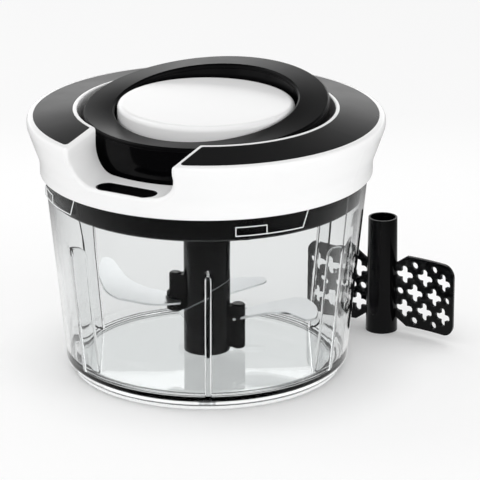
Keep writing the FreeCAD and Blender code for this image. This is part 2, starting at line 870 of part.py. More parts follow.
def make_cord_run():
    """Cord from the drum, round the guide pin and up to the outlet's mouth."""
    reach = ring_middle_radius
    tangent_turn = math.acos(run_radius / reach)
    turn = -math.pi / 2 - tangent_turn
    start = V(run_radius * math.cos(turn), run_radius * math.sin(turn), cord_height)
    outlet = V(0, -reach, cord_height)
    along = outlet.sub(start)
    along.normalize()
    bend_start = outlet.sub(along * bend_radius)
    bend_end = outlet.add(V(0, 0, bend_radius))
    centre = bend_start.add(V(0, 0, bend_radius))
    ease = bend_radius * math.sqrt(0.5)
    bend_middle = centre.add(along * ease).sub(V(0, 0, ease))
    top = V(0, -reach, outlet_top)
    path = Part.Wire([
        Part.LineSegment(start, bend_start).toShape(),
        Part.Arc(bend_start, bend_middle, bend_end).toShape(),
        Part.LineSegment(bend_end, top).toShape(),
    ])
    section = Part.Wire([Part.Circle(start, along, cord_radius).toShape()])
    run = path.makePipeShell([section], True, False)
    expected = math.pi * cord_radius ** 2 * path.Length
    print("cord run: length %.1f, bend radius %.2f, volume %.1f of %.1f expected"
          % (path.Length, bend_radius, run.Volume, expected))
    return run


def make_cord_lead():
    """Cord between the outlet's mouth and the anchor in the handle."""
    return cylinder(cord_radius, outlet_top, ring_bottom + ring_floor, 0, -ring_middle_radius)


def make_cord_spool():
    """Drum with two flanges and a neck up to the spring arbor."""
    core_bottom = spool_bottom + spool_flange
    core_top = core_bottom + spool_width
    return spun((shaft_radius, spool_bottom), [
        (spool_flange_radius, spool_bottom),
        (spool_flange_radius, core_bottom),
        (spool_core_radius, core_bottom),
        (spool_core_radius, core_top),
        (spool_flange_radius, core_top),
        (spool_flange_radius, spool_top),
        (spool_neck_radius, spool_top),
        (spool_neck_radius, cup_floor_top + part_gap),
        (shaft_radius, cup_floor_top + part_gap),
    ])


def make_cord_winding():
    """The cord wound on the drum, as one plain body."""
    bottom = spool_bottom + spool_flange
    return tube(spool_core_radius, winding_radius, bottom, bottom + spool_width)


def make_drive_shaft():
    """Steel shaft from the dog up to the clip."""
    edge = 0.5
    shaft = spun((0, shaft_bottom), [
        (shaft_radius - edge, shaft_bottom),
        (shaft_radius, shaft_bottom + edge),
        (shaft_radius, shaft_top - edge),
        (shaft_radius - edge, shaft_top),
        (0, shaft_top),
    ])
    return shaft.cut(tube(clip_groove_radius, shaft_radius + 1, clip_bottom, clip_bottom + clip_thickness))


def make_drive_dog():
    """Two-winged driver on the shaft's lower end."""
    half = dog_wing_thickness / 2
    wings = block(-dog_wing_radius, dog_wing_radius, -half, half, shaft_bottom, dog_top)
    wings = wings.common(cylinder(dog_wing_radius, shaft_bottom, dog_top))
    hub = cylinder(dog_hub_radius, shaft_bottom, dog_top)
    return joined([wings, hub]).cut(cylinder(shaft_radius, shaft_bottom - 1, dog_top + 1))


def make_bush(bottom, top):
    """Shaft bush with a flange on top."""
    bore = shaft_radius + running_gap
    return spun((bore, bottom), [
        (bush_radius, bottom),
        (bush_radius, top),
        (bush_flange_radius, top),
        (bush_flange_radius, top + bush_flange),
        (bore, top + bush_flange),
    ])


def make_shaft_clip():
    """Open retaining ring in the shaft's groove."""
    ring = tube(clip_groove_radius, clip_radius, clip_bottom, clip_bottom + clip_thickness)
    mouth = block(0, clip_radius + 1, -clip_groove_radius * 0.8, clip_groove_radius * 0.8,
                  clip_bottom - 1, clip_bottom + 2)
    return ring.cut(mouth)


def make_spring_arbor():
    """Hub on the shaft that the spring's inner end winds round."""
    bottom = cup_floor_top + part_gap * 2
    return tube(shaft_radius, arbor_radius, bottom, cup_top - arbor_gap)


def make_recoil_spring():
    """Flat spiral spring, built from half turns on two alternating centres."""
    bottom = cup_floor_top + spring_clearance
    half_strip = spring_strip / 2
    first_radius = arbor_radius + arbor_gap + half_strip + spring_end_gap
    last_radius = spring_screw_circle - spring_screw_boss - spring_end_gap - half_strip
    pitch = (last_radius - first_radius) / spring_turns
    inner_edges = []
    outer_edges = []
    for half_turn in range(2 * spring_turns):
        side = 1 if half_turn % 2 == 0 else -1
        centre = V(-side * pitch / 4, 0, bottom)
        radius = first_radius + pitch / 4 + half_turn * pitch / 2
        for offset, edges in ((-half_strip, inner_edges), (half_strip, outer_edges)):
            reach = radius + offset
            edges.append(Part.Arc(centre.add(V(side * reach, 0, 0)), centre.add(V(0, side * reach, 0)),
                                  centre.add(V(-side * reach, 0, 0))).toShape())
    start_cap = Part.LineSegment(inner_edges[0].Vertexes[0].Point, outer_edges[0].Vertexes[0].Point)
    end_cap = Part.LineSegment(outer_edges[-1].Vertexes[-1].Point, inner_edges[-1].Vertexes[-1].Point)
    edges = inner_edges + [end_cap.toShape()] + outer_edges[::-1] + [start_cap.toShape()]
    face = Part.Face(Part.Wire(Part.__sortEdges__(edges)))
    return face.extrude(V(0, 0, spring_height))


def make_spring_cup():
    """Open cup on the lid's platform that houses the recoil spring."""
    inner = cup_radius - spring_cup_wall
    hole = arbor_radius + arbor_gap
    cup = spun((hole, recess_floor_top), [
        (cup_radius, recess_floor_top),
        (cup_radius, cup_top),
        (inner, cup_top),
        (inner, cup_floor_top),
        (hole, cup_floor_top),
    ])
    for x, y in on_circle(spring_screw_count, spring_screw_circle, 90):
        cup = cup.fuse(cylinder(spring_screw_boss, recess_floor_top, cup_top, x, y)
                       .common(cylinder(cup_radius, recess_floor_top, cup_top)))
    for x, y in on_circle(spring_screw_count, spring_screw_circle, 90):
        cup = cup.cut(cylinder(spring_screw_radius, recess_floor_top - 1, cup_top + 1, x, y))
    return cup


def make_spring_cover():
    """Lid of the spring cup, with the hub of the upper bush."""
    cover = spun((bush_radius, cup_top), [
        (cup_radius, cup_top),
        (cup_radius, cover_top),
        (cover_hub_radius, cover_top),
        (cover_hub_radius, cover_hub_top),
        (bush_radius, cover_hub_top),
    ])
    for x, y in on_circle(spring_screw_count, spring_screw_circle, 90):
        cover = cover.cut(cylinder(spring_screw_radius, cup_top - 1, cover_top + 1, x, y))
    return cover


def make_handle_ring():
    """Hollow body of the ring handle, open upwards under its cover."""
    tall = cap_top + 20
    body = spun((ring_inner_radius, ring_bottom), [
        (ring_outer_radius, ring_bottom),
        (ring_outer_radius, tall),
        (ring_outer_radius - ring_wall, tall),
        (ring_outer_radius - ring_wall, ring_bottom + ring_floor),
        (ring_inner_radius + ring_wall, ring_bottom + ring_floor),
        (ring_inner_radius + ring_wall, tall),
        (ring_inner_radius, tall),
    ])
    pieces = [body]
    pad_top = ring_bottom + handle_pad_height
    for x, y in on_circle(handle_screw_count, ring_middle_radius, handle_screw_first):
        pieces.append(cylinder(handle_pad_radius, ring_bottom, pad_top, x, y))
    body = joined(pieces)
    body = body.cut(space_above_ring(cover_thickness + part_gap))
    for x, y in on_circle(handle_screw_count, ring_middle_radius, handle_screw_first):
        sunk = ring_bottom + screw_head_height + seat_gap
        body = body.cut(cylinder(screw_head_radius + screw_hole_gap, ring_bottom - 1, sunk, x, y))
        body = body.cut(cylinder(screw_radius + screw_hole_gap, ring_bottom, pad_top + 1, x, y))
    return body.cut(cylinder(cord_bore_radius, ring_bottom - 1, ring_bottom + ring_floor + 1,
                             0, -ring_middle_radius))


def space_above_ring(depth):
    """Ring of space above a surface that lies a depth under the handle's top."""
    margin = 4.0
    inner = ring_inner_radius - margin
    outer = ring_outer_radius + margin
    tall = cap_top + 30
    return ring_solid([
        ring_loop(inner, lambda angle: handle_top(inner, angle) - depth),
        ring_loop(outer, lambda angle: handle_top(outer, angle) - depth),
        ring_loop(outer, lambda angle: tall),
        ring_loop(inner, lambda angle: tall),
    ])


def make_handle_cover():
    """Sloping top of the ring handle with bevelled edges, and its screw posts."""
    inner, outer = ring_inner_radius, ring_outer_radius
    inner_flat, outer_flat = inner + cover_bevel, outer - cover_bevel
    cover = ring_solid([
        ring_loop(inner, lambda angle: handle_top(inner, angle) - cover_thickness),
        ring_loop(inner, lambda angle: handle_top(inner, angle) - cover_bevel_drop),
        ring_loop(inner_flat, lambda angle: handle_top(inner_flat, angle)),
        ring_loop(outer_flat, lambda angle: handle_top(outer_flat, angle)),
        ring_loop(outer, lambda angle: handle_top(outer, angle) - cover_bevel_drop),
        ring_loop(outer, lambda angle: handle_top(outer, angle) - cover_thickness),
    ])
    post_bottom = ring_bottom + handle_pad_height
    posts = []
    for index in range(handle_screw_count):
        angle = handle_screw_first + 360.0 * index / handle_screw_count
        x, y = on_circle(1, ring_middle_radius, angle)[0]
        post_top = handle_top(ring_middle_radius, angle) - cover_thickness / 2
        posts.append(cylinder(handle_post_radius, post_bottom, post_top, x, y))
    cover = joined([cover] + posts)
    for x, y in on_circle(handle_screw_count, ring_middle_radius, handle_screw_first):
        hole_top = ring_bottom + seat_gap + screw_head_height + handle_screw_length + 2
        cover = cover.cut(cylinder(screw_radius, post_bottom - 1, hole_top, x, y))
    return cover


def make_cord_anchor():
    """Ferrule that holds the cord's end above the handle's floor."""
    floor_top = ring_bottom + ring_floor
    return cylinder(anchor_radius, floor_top, floor_top + anchor_height, 0, -ring_middle_radius)


def column_below_seam(rise):
    """Body filling the space under the column's slanted seam, raised by a rise."""
    size = 6 * column_radius
    slab = block(-size, size, -size, size, -size, 0)
    slab.rotate(V(0, 0, 0), V(0, 1, 0), -seam_tilt)
    slab = turned(slab, seam_direction)
    return moved(slab, 0, 0, seam_height + rise)


def make_pod(radius, bottom, top, angle):
    """Blade holder on the column's side, with its web."""
    pod = cylinder(radius, bottom, top, pod_distance, 0)
    pod = pod.makeChamfer(pod_edge, [edge for edge in pod.Edges if is_flat_circle(edge)])
    web = block(sleeve_bore_radius + seat_gap, pod_distance, -pod_web / 2, pod_web / 2, bottom + 1, top - 1)
    return turned(joined([pod, web]), angle)


def is_flat_circle(edge):
    """True for a level circular edge."""
    return isinstance(edge.Curve, Part.Circle)


def make_blade_sleeve():
    """Upper half of the blade column: drive socket above, upper blade's pod below."""
    foot_top = upper_pod_bottom + upper_pod_foot
    body = joined([
        cylinder(column_radius, 0, column_top).cut(column_below_seam(seam_gap / 2)),
        make_pod(upper_pod_radius, upper_pod_bottom, upper_pod_top, upper_blade_angle),
        make_pod(upper_pod_foot_radius, upper_pod_bottom, foot_top, upper_blade_angle),
    ])
    body = body.cut(cylinder(column_radius, 0, column_top).common(column_below_seam(seam_gap / 2)))
    web_top = sleeve_web_bottom + sleeve_web
    body = body.cut(cylinder(sleeve_bore_radius, web_top, column_top + 1))
    body = body.cut(cylinder(spigot_radius + part_gap, 0, sleeve_web_bottom))
    body = joined([body] + drive_ribs(sleeve_bore_radius, drive_rib_inner, drive_rib_width,
                                      column_top - drive_rib_inset - drive_rib_height,
                                      column_top - drive_rib_inset))
    body = body.cut(make_blade(upper_blade_height, upper_blade_angle))
    return body.cut(make_rivet(upper_blade_height, upper_blade_angle))


def drive_ribs(bore_radius, inner_radius, width, bottom, top):
    """Two ribs inside a bore, which the dog's wings push on."""
    ribs = []
    for side in (1, -1):
        near = min(side * inner_radius, side * (bore_radius + 0.5))
        far = max(side * inner_radius, side * (bore_radius + 0.5))
        ribs.append(block(-width / 2, width / 2, near, far, bottom, top))
    return ribs


def make_blade_hub():
    """Lower half of the blade column: pivot bore, spigot and the two lower pods."""
    outer = cylinder(column_radius, column_bottom, column_top).common(column_below_seam(-seam_gap / 2))
    rim = [edge for edge in outer.Edges if isinstance(edge.Curve, Part.Ellipse)]
    pieces = [
        outer.makeFillet(seam_round, rim),
        cylinder(spigot_radius, column_bottom, spigot_top),
        make_pod(pod_radius, lower_pod_bottom, lower_pod_top, lower_blade_angle),
        make_pod(pod_radius, lower_pod_bottom, rear_pod_top, rear_blade_angle),
    ]
    hub = joined(pieces)
    bush_outer = pin_radius + running_gap + pivot_bush_wall
    bush_top = pivot_bush_bottom + pivot_bush_height
    hub = hub.cut(cylinder(post_radius + slip_gap, 0, pivot_bush_bottom))
    hub = hub.cut(cylinder(bush_outer, pivot_bush_bottom, bush_top))
    hub = hub.cut(cylinder(pin_radius + slip_gap, bush_top, pin_top + 2))
    for height, angle in ((lower_blade_height, lower_blade_angle), (rear_blade_height, rear_blade_angle)):
        hub = hub.cut(make_blade(height, angle)).cut(make_rivet(height, angle))
    return hub


def make_blade(height, angle):
    """Curved steel blade, leaning up along its reach and across it."""
    root = blade_root / blade_reach
    face = outline((root, -0.060), [
        (0.450, -0.066),
        ((0.649, -0.127), (0.779, -0.310)),
        ((0.838, -0.444), (0.873, -0.530)),
        ((0.932, -0.566), (0.984, -0.502)),
        ((1.000, -0.241), (0.946, 0.048)),
        ((0.898, 0.170), (0.800, 0.258)),
        (0.549, 0.264),
        ((0.450, 0.241), (0.377, 0.204)),
        (root, 0.120),
    ], lambda along, across: V(along * blade_reach, across * blade_reach, -blade_thickness / 2))
    blade = face.extrude(V(0, 0, blade_thickness))
    pivot = V(pod_distance, 0, 0)
    blade.rotate(pivot, V(0, 1, 0), -blade_lean)
    blade.rotate(pivot, V(1, 0, 0), -blade_twist)
    return turned(moved(blade, 0, 0, height), angle)


def make_rivet(height, angle):
    """Upright pin through a pod and its blade."""
    half = rivet_length / 2
    return turned(cylinder(rivet_radius, height - half, height + half, pod_distance, 0), angle)


def make_drilled_blade(height, angle):
    """Blade with the hole for its rivet."""
    return make_blade(height, angle).cut(make_rivet(height, angle))


def make_pivot_bush():
    """Bearing of the blade column on the bowl's pin."""
    bore = pin_radius + running_gap
    top = pivot_bush_bottom + pivot_bush_height
    return tube(bore, bore + pivot_bush_wall, pivot_bush_bottom, top)


def make_cross():
    """Cross-shaped cutter with round lobes, its axis along Y, centred on the origin."""
    long_half = cross_size / 2
    arm = cross_arm / 2
    depth = wing_thickness * 3
    reach = long_half - arm
    shapes = []
    for angle in (0, 90):
        bar = block(-reach, reach, -depth, depth, -arm, arm)
        ends = [Part.makeCylinder(arm, 2 * depth, V(side * reach, -depth, 0), V(0, 1, 0))
                for side in (-1, 1)]
        whole = joined([bar] + ends)
        whole.rotate(V(0, 0, 0), V(0, 1, 0), angle)
        shapes.append(whole)
    return joined(shapes)


def on_wing(shape, length, height):
    """Copy of a cutter set on the curved wing, square to it, at a length along it and a height."""
    turn = -math.degrees(length / wing_curve_radius)
    copy = moved(shape, 0, 0, height)
    copy.rotate(V(0, -wing_curve_radius, 0), V(0, 0, 1), turn)
    return copy


def make_wing():
    """One curved wing of the paddle with its crosses and dots, starting along +X."""
    half = wing_thickness / 2
    sweep = math.degrees(wing_length / wing_curve_radius)
    band = tube(wing_curve_radius - half, wing_curve_radius + half, wing_bottom, wing_top,
                0, -wing_curve_radius)
    end = math.radians(90 - sweep)
    tip_x = wing_curve_radius * math.cos(end)
    deep = 2 * wing_curve_radius
    ease = wing_corner * (1 - math.sqrt(0.5))
    neck = paddle_bottom_radius
    front = outline((0, wing_bottom + wing_neck), [
        (neck, wing_bottom + wing_neck),
        (neck + 1.4 * wing_neck, wing_bottom),
        (tip_x - wing_corner, wing_bottom),
        ((tip_x - ease, wing_bottom + ease), (tip_x, wing_bottom + wing_corner)),
        (tip_x, wing_top - wing_corner),
        ((tip_x - ease, wing_top - ease), (tip_x - wing_corner, wing_top)),
        (neck + 1.4 * wing_neck, wing_top),
        (neck, wing_top - wing_neck),
        (0, wing_top - wing_neck),
    ], lambda x, z: V(x, -deep / 2, z))
    wing = band.common(front.extrude(V(0, deep / 2 + wing_thickness, 0)))
    cross = make_cross()
    dot = Part.makeCylinder(dot_radius, wing_thickness * 6, V(0, -wing_thickness * 3, 0), V(0, 1, 0))
    holes = []
    for row, count in enumerate(cross_rows):
        shift = 0.0 if row % 2 == 0 else cross_pitch / 2
        height = cross_bottom + row * cross_rise
        for column in range(count):
            holes.append(on_wing(cross, cross_first + shift + column * cross_pitch, height))
    middle = cross_bottom + cross_rise
    for length in (cross_first + cross_pitch / 2, cross_first + cross_pitch * 1.5):
        holes.append(on_wing(dot, length, middle + dot_offset))
        holes.append(on_wing(dot, length, middle - dot_offset))
    for length in (cross_first - dot_margin, cross_first + 2 * cross_pitch + dot_margin):
        holes.append(on_wing(dot, length, middle))
    return wing.cut(holes)


def make_mixing_paddle():
    """Paddle that takes the blades' place: a tapered tube with two pierced wings."""
    body = Part.makeCone(paddle_bottom_radius, paddle_top_radius, paddle_height)
    wing = make_wing()
    body = joined([body, turned(wing, 0), turned(wing, 180)])
    web_top = paddle_bore_depth + paddle_web
    body = body.cut(cylinder(post_radius + paddle_bore_gap, -1, paddle_bore_depth))
    body = body.cut(cylinder(paddle_socket_radius, web_top, paddle_height + 1))
    rib_top = paddle_height - paddle_rib_inset
    rib_inner = paddle_socket_radius - paddle_rib_depth
    body = joined([body] + drive_ribs(paddle_socket_radius, rib_inner, paddle_rib_width,
                                      rib_top - paddle_rib_height, rib_top))
    return moved(turned(body, wing_angle), paddle_x, paddle_y, 0)


def screw_group(count, circle, first_angle, head_bottom, length):
    """Equal screws on a circle, heads down, as one group of solids."""
    screws = []
    for x, y in on_circle(count, circle, first_angle):
        screws.append(screw(x, y, head_bottom, screw_radius, screw_head_radius, screw_head_height, length))
    return Part.makeCompound(screws)


def spring_screw_group():
    """Screws that hold the spring's housing down, heads up."""
    screws = []
    for x, y in on_circle(spring_screw_count, spring_screw_circle, 90):
        screws.append(screw(x, y, cover_top + spring_screw_head, spring_screw_radius,
                            spring_screw_head_radius, spring_screw_head,
                            cover_top - platform_bottom - spring_screw_radius, upward=False))
    return Part.makeCompound(screws)


def all_pieces():
    """Every node's name and shape."""
    rivets = Part.makeCompound([
        make_rivet(upper_blade_height, upper_blade_angle),
        make_rivet(lower_blade_height, lower_blade_angle),
        make_rivet(rear_blade_height, rear_blade_angle),
    ])
    return {
        "bowl": make_bowl(),
        "bowl_pivot_pin": make_bowl_pivot_pin(),
        "base_pad": make_base_pad(),
        "lid_seal": make_lid_seal(),
        "lid_shell": make_lid_shell(),
        "lid_tray": make_lid_tray(),
        "lid_collar": make_lid_collar(),
        "grip_pad": make_pad_body(0.0),
        "boss_cap": make_boss_cap(),
        "slot_liner": make_slot_liner(),
        "tray_screws": screw_group(collar_screw_count, tray_screw_circle, 45,
                                   collar_bottom + seat_gap / 2, screw_length),
        "shell_screws": screw_group(collar_screw_count, shell_screw_circle, 45,
                                    collar_bottom + seat_gap / 2, screw_length),
        "cord_guide_pin": make_cord_guide_pin(),
        "cord_outlet_bush": make_cord_outlet_bush(),
        "cord_run": make_cord_run(),
        "cord_lead": make_cord_lead(),
        "lower_shaft_bush": make_bush(collar_bottom, collar_hub_top),
        "upper_shaft_bush": make_bush(cup_top, cover_hub_top),
        "spring_cup": make_spring_cup(),
        "spring_cover": make_spring_cover(),
        "spring_screws": spring_screw_group(),
        "recoil_spring": make_recoil_spring(),
        "cord_spool": make_cord_spool(),
        "cord_winding": make_cord_winding(),
        "spring_arbor": make_spring_arbor(),
        "drive_shaft": make_drive_shaft(),
        "drive_dog": make_drive_dog(),
        "shaft_washer": tube(shaft_radius, washer_radius, washer_bottom, washer_bottom + washer_thickness),
        "shaft_clip": make_shaft_clip(),
        "handle_ring": make_handle_ring(),
        "handle_cover": make_handle_cover(),
        "handle_screws": screw_group(handle_screw_count, ring_middle_radius, handle_screw_first,
                                     ring_bottom + seat_gap / 2, handle_screw_length),
        "cord_anchor": make_cord_anchor(),
        "blade_sleeve": make_blade_sleeve(),
        "blade_hub": make_blade_hub(),
        "blade_upper": make_drilled_blade(upper_blade_height, upper_blade_angle),
        "blade_lower": make_drilled_blade(lower_blade_height, lower_blade_angle),
        "blade_rear": make_drilled_blade(rear_blade_height, rear_blade_angle),
        "blade_rivets": rivets,
        "pivot_bush": make_pivot_bush(),
        "mixing_paddle": make_mixing_paddle(),
    }


os.makedirs("parts", exist_ok=True)
for node, shape in all_pieces().items():
    if not shape.isValid():
        print("not valid:", node)
    print("%-18s solids %d  volume %10.1f  top %.2f" % (node, len(shape.Solids), shape.Volume,
                                                       shape.BoundBox.ZMax))
    shape.exportStep("parts/" + node + ".step")
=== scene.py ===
"""Looks of a pull-string food chopper: clear bowl, white lid, ring handle, blades and mixing paddle."""

import json
import logging
import math
from dataclasses import dataclass
from enum import Enum
from typing import Any, Optional

import bpy
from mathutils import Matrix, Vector

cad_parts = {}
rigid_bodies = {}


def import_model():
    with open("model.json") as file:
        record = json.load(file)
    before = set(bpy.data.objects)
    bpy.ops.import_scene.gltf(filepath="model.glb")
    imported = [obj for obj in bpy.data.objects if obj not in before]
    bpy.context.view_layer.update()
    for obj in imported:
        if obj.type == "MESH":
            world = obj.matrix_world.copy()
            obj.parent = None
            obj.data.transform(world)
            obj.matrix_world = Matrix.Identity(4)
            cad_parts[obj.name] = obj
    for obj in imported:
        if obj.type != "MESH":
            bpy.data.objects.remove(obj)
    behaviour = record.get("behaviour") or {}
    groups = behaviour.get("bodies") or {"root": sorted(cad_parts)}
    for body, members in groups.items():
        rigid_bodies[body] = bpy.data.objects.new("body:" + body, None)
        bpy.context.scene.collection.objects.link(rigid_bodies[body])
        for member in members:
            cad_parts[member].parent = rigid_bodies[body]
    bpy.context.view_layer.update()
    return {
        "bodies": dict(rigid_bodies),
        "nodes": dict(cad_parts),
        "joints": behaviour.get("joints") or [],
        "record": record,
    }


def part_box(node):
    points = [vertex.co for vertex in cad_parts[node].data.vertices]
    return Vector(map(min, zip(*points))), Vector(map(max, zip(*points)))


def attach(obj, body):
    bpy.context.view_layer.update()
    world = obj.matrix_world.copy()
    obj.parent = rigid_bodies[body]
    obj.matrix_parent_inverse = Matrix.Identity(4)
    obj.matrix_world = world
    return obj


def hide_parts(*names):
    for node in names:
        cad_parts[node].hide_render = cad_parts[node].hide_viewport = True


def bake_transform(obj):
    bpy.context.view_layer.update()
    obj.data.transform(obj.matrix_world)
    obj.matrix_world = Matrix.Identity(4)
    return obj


LOG = logging.getLogger("chopper")
MM = 0.001
WHITE = "FFFFFF"
# Numbers of the Mix node's sockets, because their names repeat.
MIX_SHARE, MIX_FROM, MIX_TO = 0, 2, 3
MIX_COLOUR_FROM, MIX_COLOUR_TO, MIX_COLOUR_RESULT = 6, 7, 2
Colour = tuple[float, float, float, float]
Point = tuple[float, float, float]
Frame = dict[str, Any]
Socket = bpy.types.NodeSocket


def linear(code: str) -> Colour:
    """Turn an sRGB hex colour into linear light, by the sRGB standard's own curve.

    Args:
        code: Six hex digits, red first.

    Returns:
        Linear red, green and blue, and an alpha of 1.
    """
    parts = [int(code[start:start + 2], 16) / 255 for start in (0, 2, 4)]
    red, green, blue = (
        part / 12.92 if part <= 0.04045 else ((part + 0.055) / 1.055) ** 2.4 for part in parts
    )
    return (red, green, blue, 1.0)


def add_node(tree: bpy.types.NodeTree, kind: str, sockets: Optional[dict[Any, Any]] = None,
             **settings: Any) -> bpy.types.Node:
    """Add a node with its settings, its inputs' values and its incoming links.

    Args:
        tree: Node tree of a material, a world or a shape.
        kind: The node type's identifier.
        sockets: Input name or number, with a value, an output socket, or a list of output sockets.
        **settings: The node's own properties.

    Returns:
        The new node.
    """
    node = tree.nodes.new(kind)
    for name, value in settings.items():
        setattr(node, name, value)
    for key, value in (sockets or {}).items():
        for source in value if isinstance(value, list) else [value]:
            if isinstance(source, Socket):
                tree.links.new(source, node.inputs[key])
            else:
                node.inputs[key].default_value = source
    return node


def emptied(owner: bpy.types.Material | bpy.types.World) -> bpy.types.NodeTree:
    """Give a material or a world an empty node tree.

    Args:
        owner: The material or world.

    Returns:
        Its tree.
    """
    owner.use_nodes = True
    owner.node_tree.nodes.clear()
    return owner.node_tree


def add_object(name: str, data: bpy.types.ID) -> bpy.types.Object:
    """Add an object to the scene.

    Args:
        name: Its name.
        data: Its mesh, lamp or camera.

    Returns:
        The new object.
    """
    added = bpy.data.objects.new(name, data)
    bpy.context.collection.objects.link(added)
    return added


# Finishes


@dataclass(frozen=True)
class Pattern:
    """Lumps or marks of a real size, which change a surface's gloss, colour or height."""

    size_mm: float
    detail: float = 2.0
    stretch: Point = (1.0, 1.0, 1.0)
    gloss: float = 0.0
    shade: str = ""
    depth_mm: float = 0.0

    def apply(self, tree: bpy.types.NodeTree, shader: bpy.types.Node, finish: "Finish",
              normal: Optional[Socket]) -> Optional[Socket]:
        """Add the pattern to a material.

        Args:
            tree: The material's node tree.
            shader: Its Principled node.
            finish: The finish that the pattern belongs to.
            normal: The normal that the earlier patterns gave, or None.

        Returns:
            The normal with this pattern's height added.
        """
        place = add_node(tree, "ShaderNodeTexCoord")
        turned = add_node(tree, "ShaderNodeMapping", {
            "Vector": place.outputs["Object"], "Scale": self.stretch,
        })
        lumps = add_node(tree, "ShaderNodeTexNoise", {
            "Vector": turned.outputs["Vector"], "Scale": 1 / (self.size_mm * MM), "Detail": self.detail,
        })
        if self.gloss:
            gloss = add_node(tree, "ShaderNodeMapRange", {
                "Value": lumps.outputs["Fac"], "To Min": finish.roughness - self.gloss,
                "To Max": finish.roughness + self.gloss,
            })
            tree.links.new(gloss.outputs["Result"], shader.inputs["Roughness"])
        if self.shade:
            colours = add_node(tree, "ShaderNodeMix", {
                MIX_SHARE: lumps.outputs["Fac"],
                MIX_COLOUR_FROM: linear(finish.colour),
                MIX_COLOUR_TO: linear(self.shade),
            }, data_type="RGBA")
            tree.links.new(colours.outputs[MIX_COLOUR_RESULT], shader.inputs["Base Color"])
        if not self.depth_mm:
            return normal
        bump = add_node(tree, "ShaderNodeBump", {
            "Height": lumps.outputs["Fac"], "Strength": 1.0, "Distance": self.depth_mm * MM,
        })
        if normal:
            tree.links.new(normal, bump.inputs["Normal"])
        return bump.outputs["Normal"]


@dataclass(frozen=True)
class Finish:
    """A material: its colour, its gloss, how strongly it mirrors, its soft edges and its patterns."""

    name: str
    colour: str
    roughness: float
    ior: float = 1.5
    mirror: float = 0.5
    edge_mm: float = 0.0
    edge_samples: int = 6
    patterns: tuple[Pattern, ...] = ()

    def build(self) -> bpy.types.Material:
        """Make the material.

        Returns:
            The new material.
        """
        material = bpy.data.materials.new(self.name)
        tree = emptied(material)
        shader = add_node(tree, "ShaderNodeBsdfPrincipled", {
            "Base Color": linear(self.colour),
            "Roughness": self.roughness,
            "IOR": self.ior,
            "Specular IOR Level": self.mirror,
        })
        normal = None
        if self.edge_mm:
            edge = add_node(tree, "ShaderNodeBevel", {"Radius": self.edge_mm * MM},
                            samples=self.edge_samples)
            normal = edge.outputs["Normal"]
        for pattern in self.patterns:
            normal = pattern.apply(tree, shader, self, normal)
        if normal:
            tree.links.new(normal, shader.inputs["Normal"])
        add_node(tree, "ShaderNodeOutputMaterial", {"Surface": self.surface(tree, shader)})
        return material

    def surface(self, tree: bpy.types.NodeTree, shader: bpy.types.Node) -> Socket:
        """Give the shader as it is."""
        return shader.outputs["BSDF"]


@dataclass(frozen=True)
class Clear(Finish):
    """Clear plastic or rubber: bends light, shows what is behind, and throws a light grey shadow."""

    gleam: str = WHITE
    shadow: str = "B4B6B6"

    def surface(self, tree: bpy.types.NodeTree, shader: bpy.types.Node) -> Socket:
        """Make the shader clear, and let part of the light of shadow rays pass.

        Args:
            tree: The material's node tree.
            shader: Its Principled node.

        Returns:
            The socket that the surface shows.
        """
        shader.inputs["Transmission Weight"].default_value = 1.0
        shader.inputs["Specular Tint"].default_value = linear(self.gleam)
        path = add_node(tree, "ShaderNodeLightPath")
        through = add_node(tree, "ShaderNodeBsdfTransparent", {"Color": linear(self.shadow)})
        mix = add_node(tree, "ShaderNodeMixShader", {
            0: path.outputs["Is Shadow Ray"], 1: shader.outputs["BSDF"], 2: through.outputs["BSDF"],
        })
        return mix.outputs["Shader"]


@dataclass(frozen=True)
class Metal(Finish):
    """Metal with the marks of the tool that worked it."""

    def surface(self, tree: bpy.types.NodeTree, shader: bpy.types.Node) -> Socket:
        """Make the shader metal."""
        shader.inputs["Metallic"].default_value = 1.0
        return shader.outputs["BSDF"]


@dataclass(frozen=True)
class Braid(Finish):
    """Braided cord: strands that cross along its length, matte and a little fuzzy.

    Diagonal waves of scale 1 repeat every 0.63 of a unit along an axis, and a strand is half a wave.
    """

    strand_mm: float = 0.7
    strand_depth_mm: float = 0.12
    half_wave: float = 0.31
    fuzz: float = 0.3

    def surface(self, tree: bpy.types.NodeTree, shader: bpy.types.Node) -> Socket:
        """Cross two slanting rows of strands, and add the fuzz.

        Args:
            tree: The material's node tree.
            shader: Its Principled node.

        Returns:
            The socket that the surface shows.
        """
        shader.inputs["Sheen Weight"].default_value = self.fuzz
        place = add_node(tree, "ShaderNodeTexCoord")
        rows = []
        for slant in (1.0, -1.0):
            turned = add_node(tree, "ShaderNodeMapping", {
                "Vector": place.outputs["Object"], "Scale": (slant, slant, 1.0),
            })
            wave = add_node(tree, "ShaderNodeTexWave", {
                "Vector": turned.outputs["Vector"], "Scale": self.half_wave / (self.strand_mm * MM),
            }, bands_direction="DIAGONAL")
            rows.append(wave.outputs["Fac"])
        crossed = add_node(tree, "ShaderNodeMath", {0: rows[0], 1: rows[1]}, operation="MAXIMUM")
        bump = add_node(tree, "ShaderNodeBump", {
            "Height": crossed.outputs[0], "Strength": 1.0, "Distance": self.strand_depth_mm * MM,
        })
        tree.links.new(bump.outputs["Normal"], shader.inputs["Normal"])
        return shader.outputs["BSDF"]


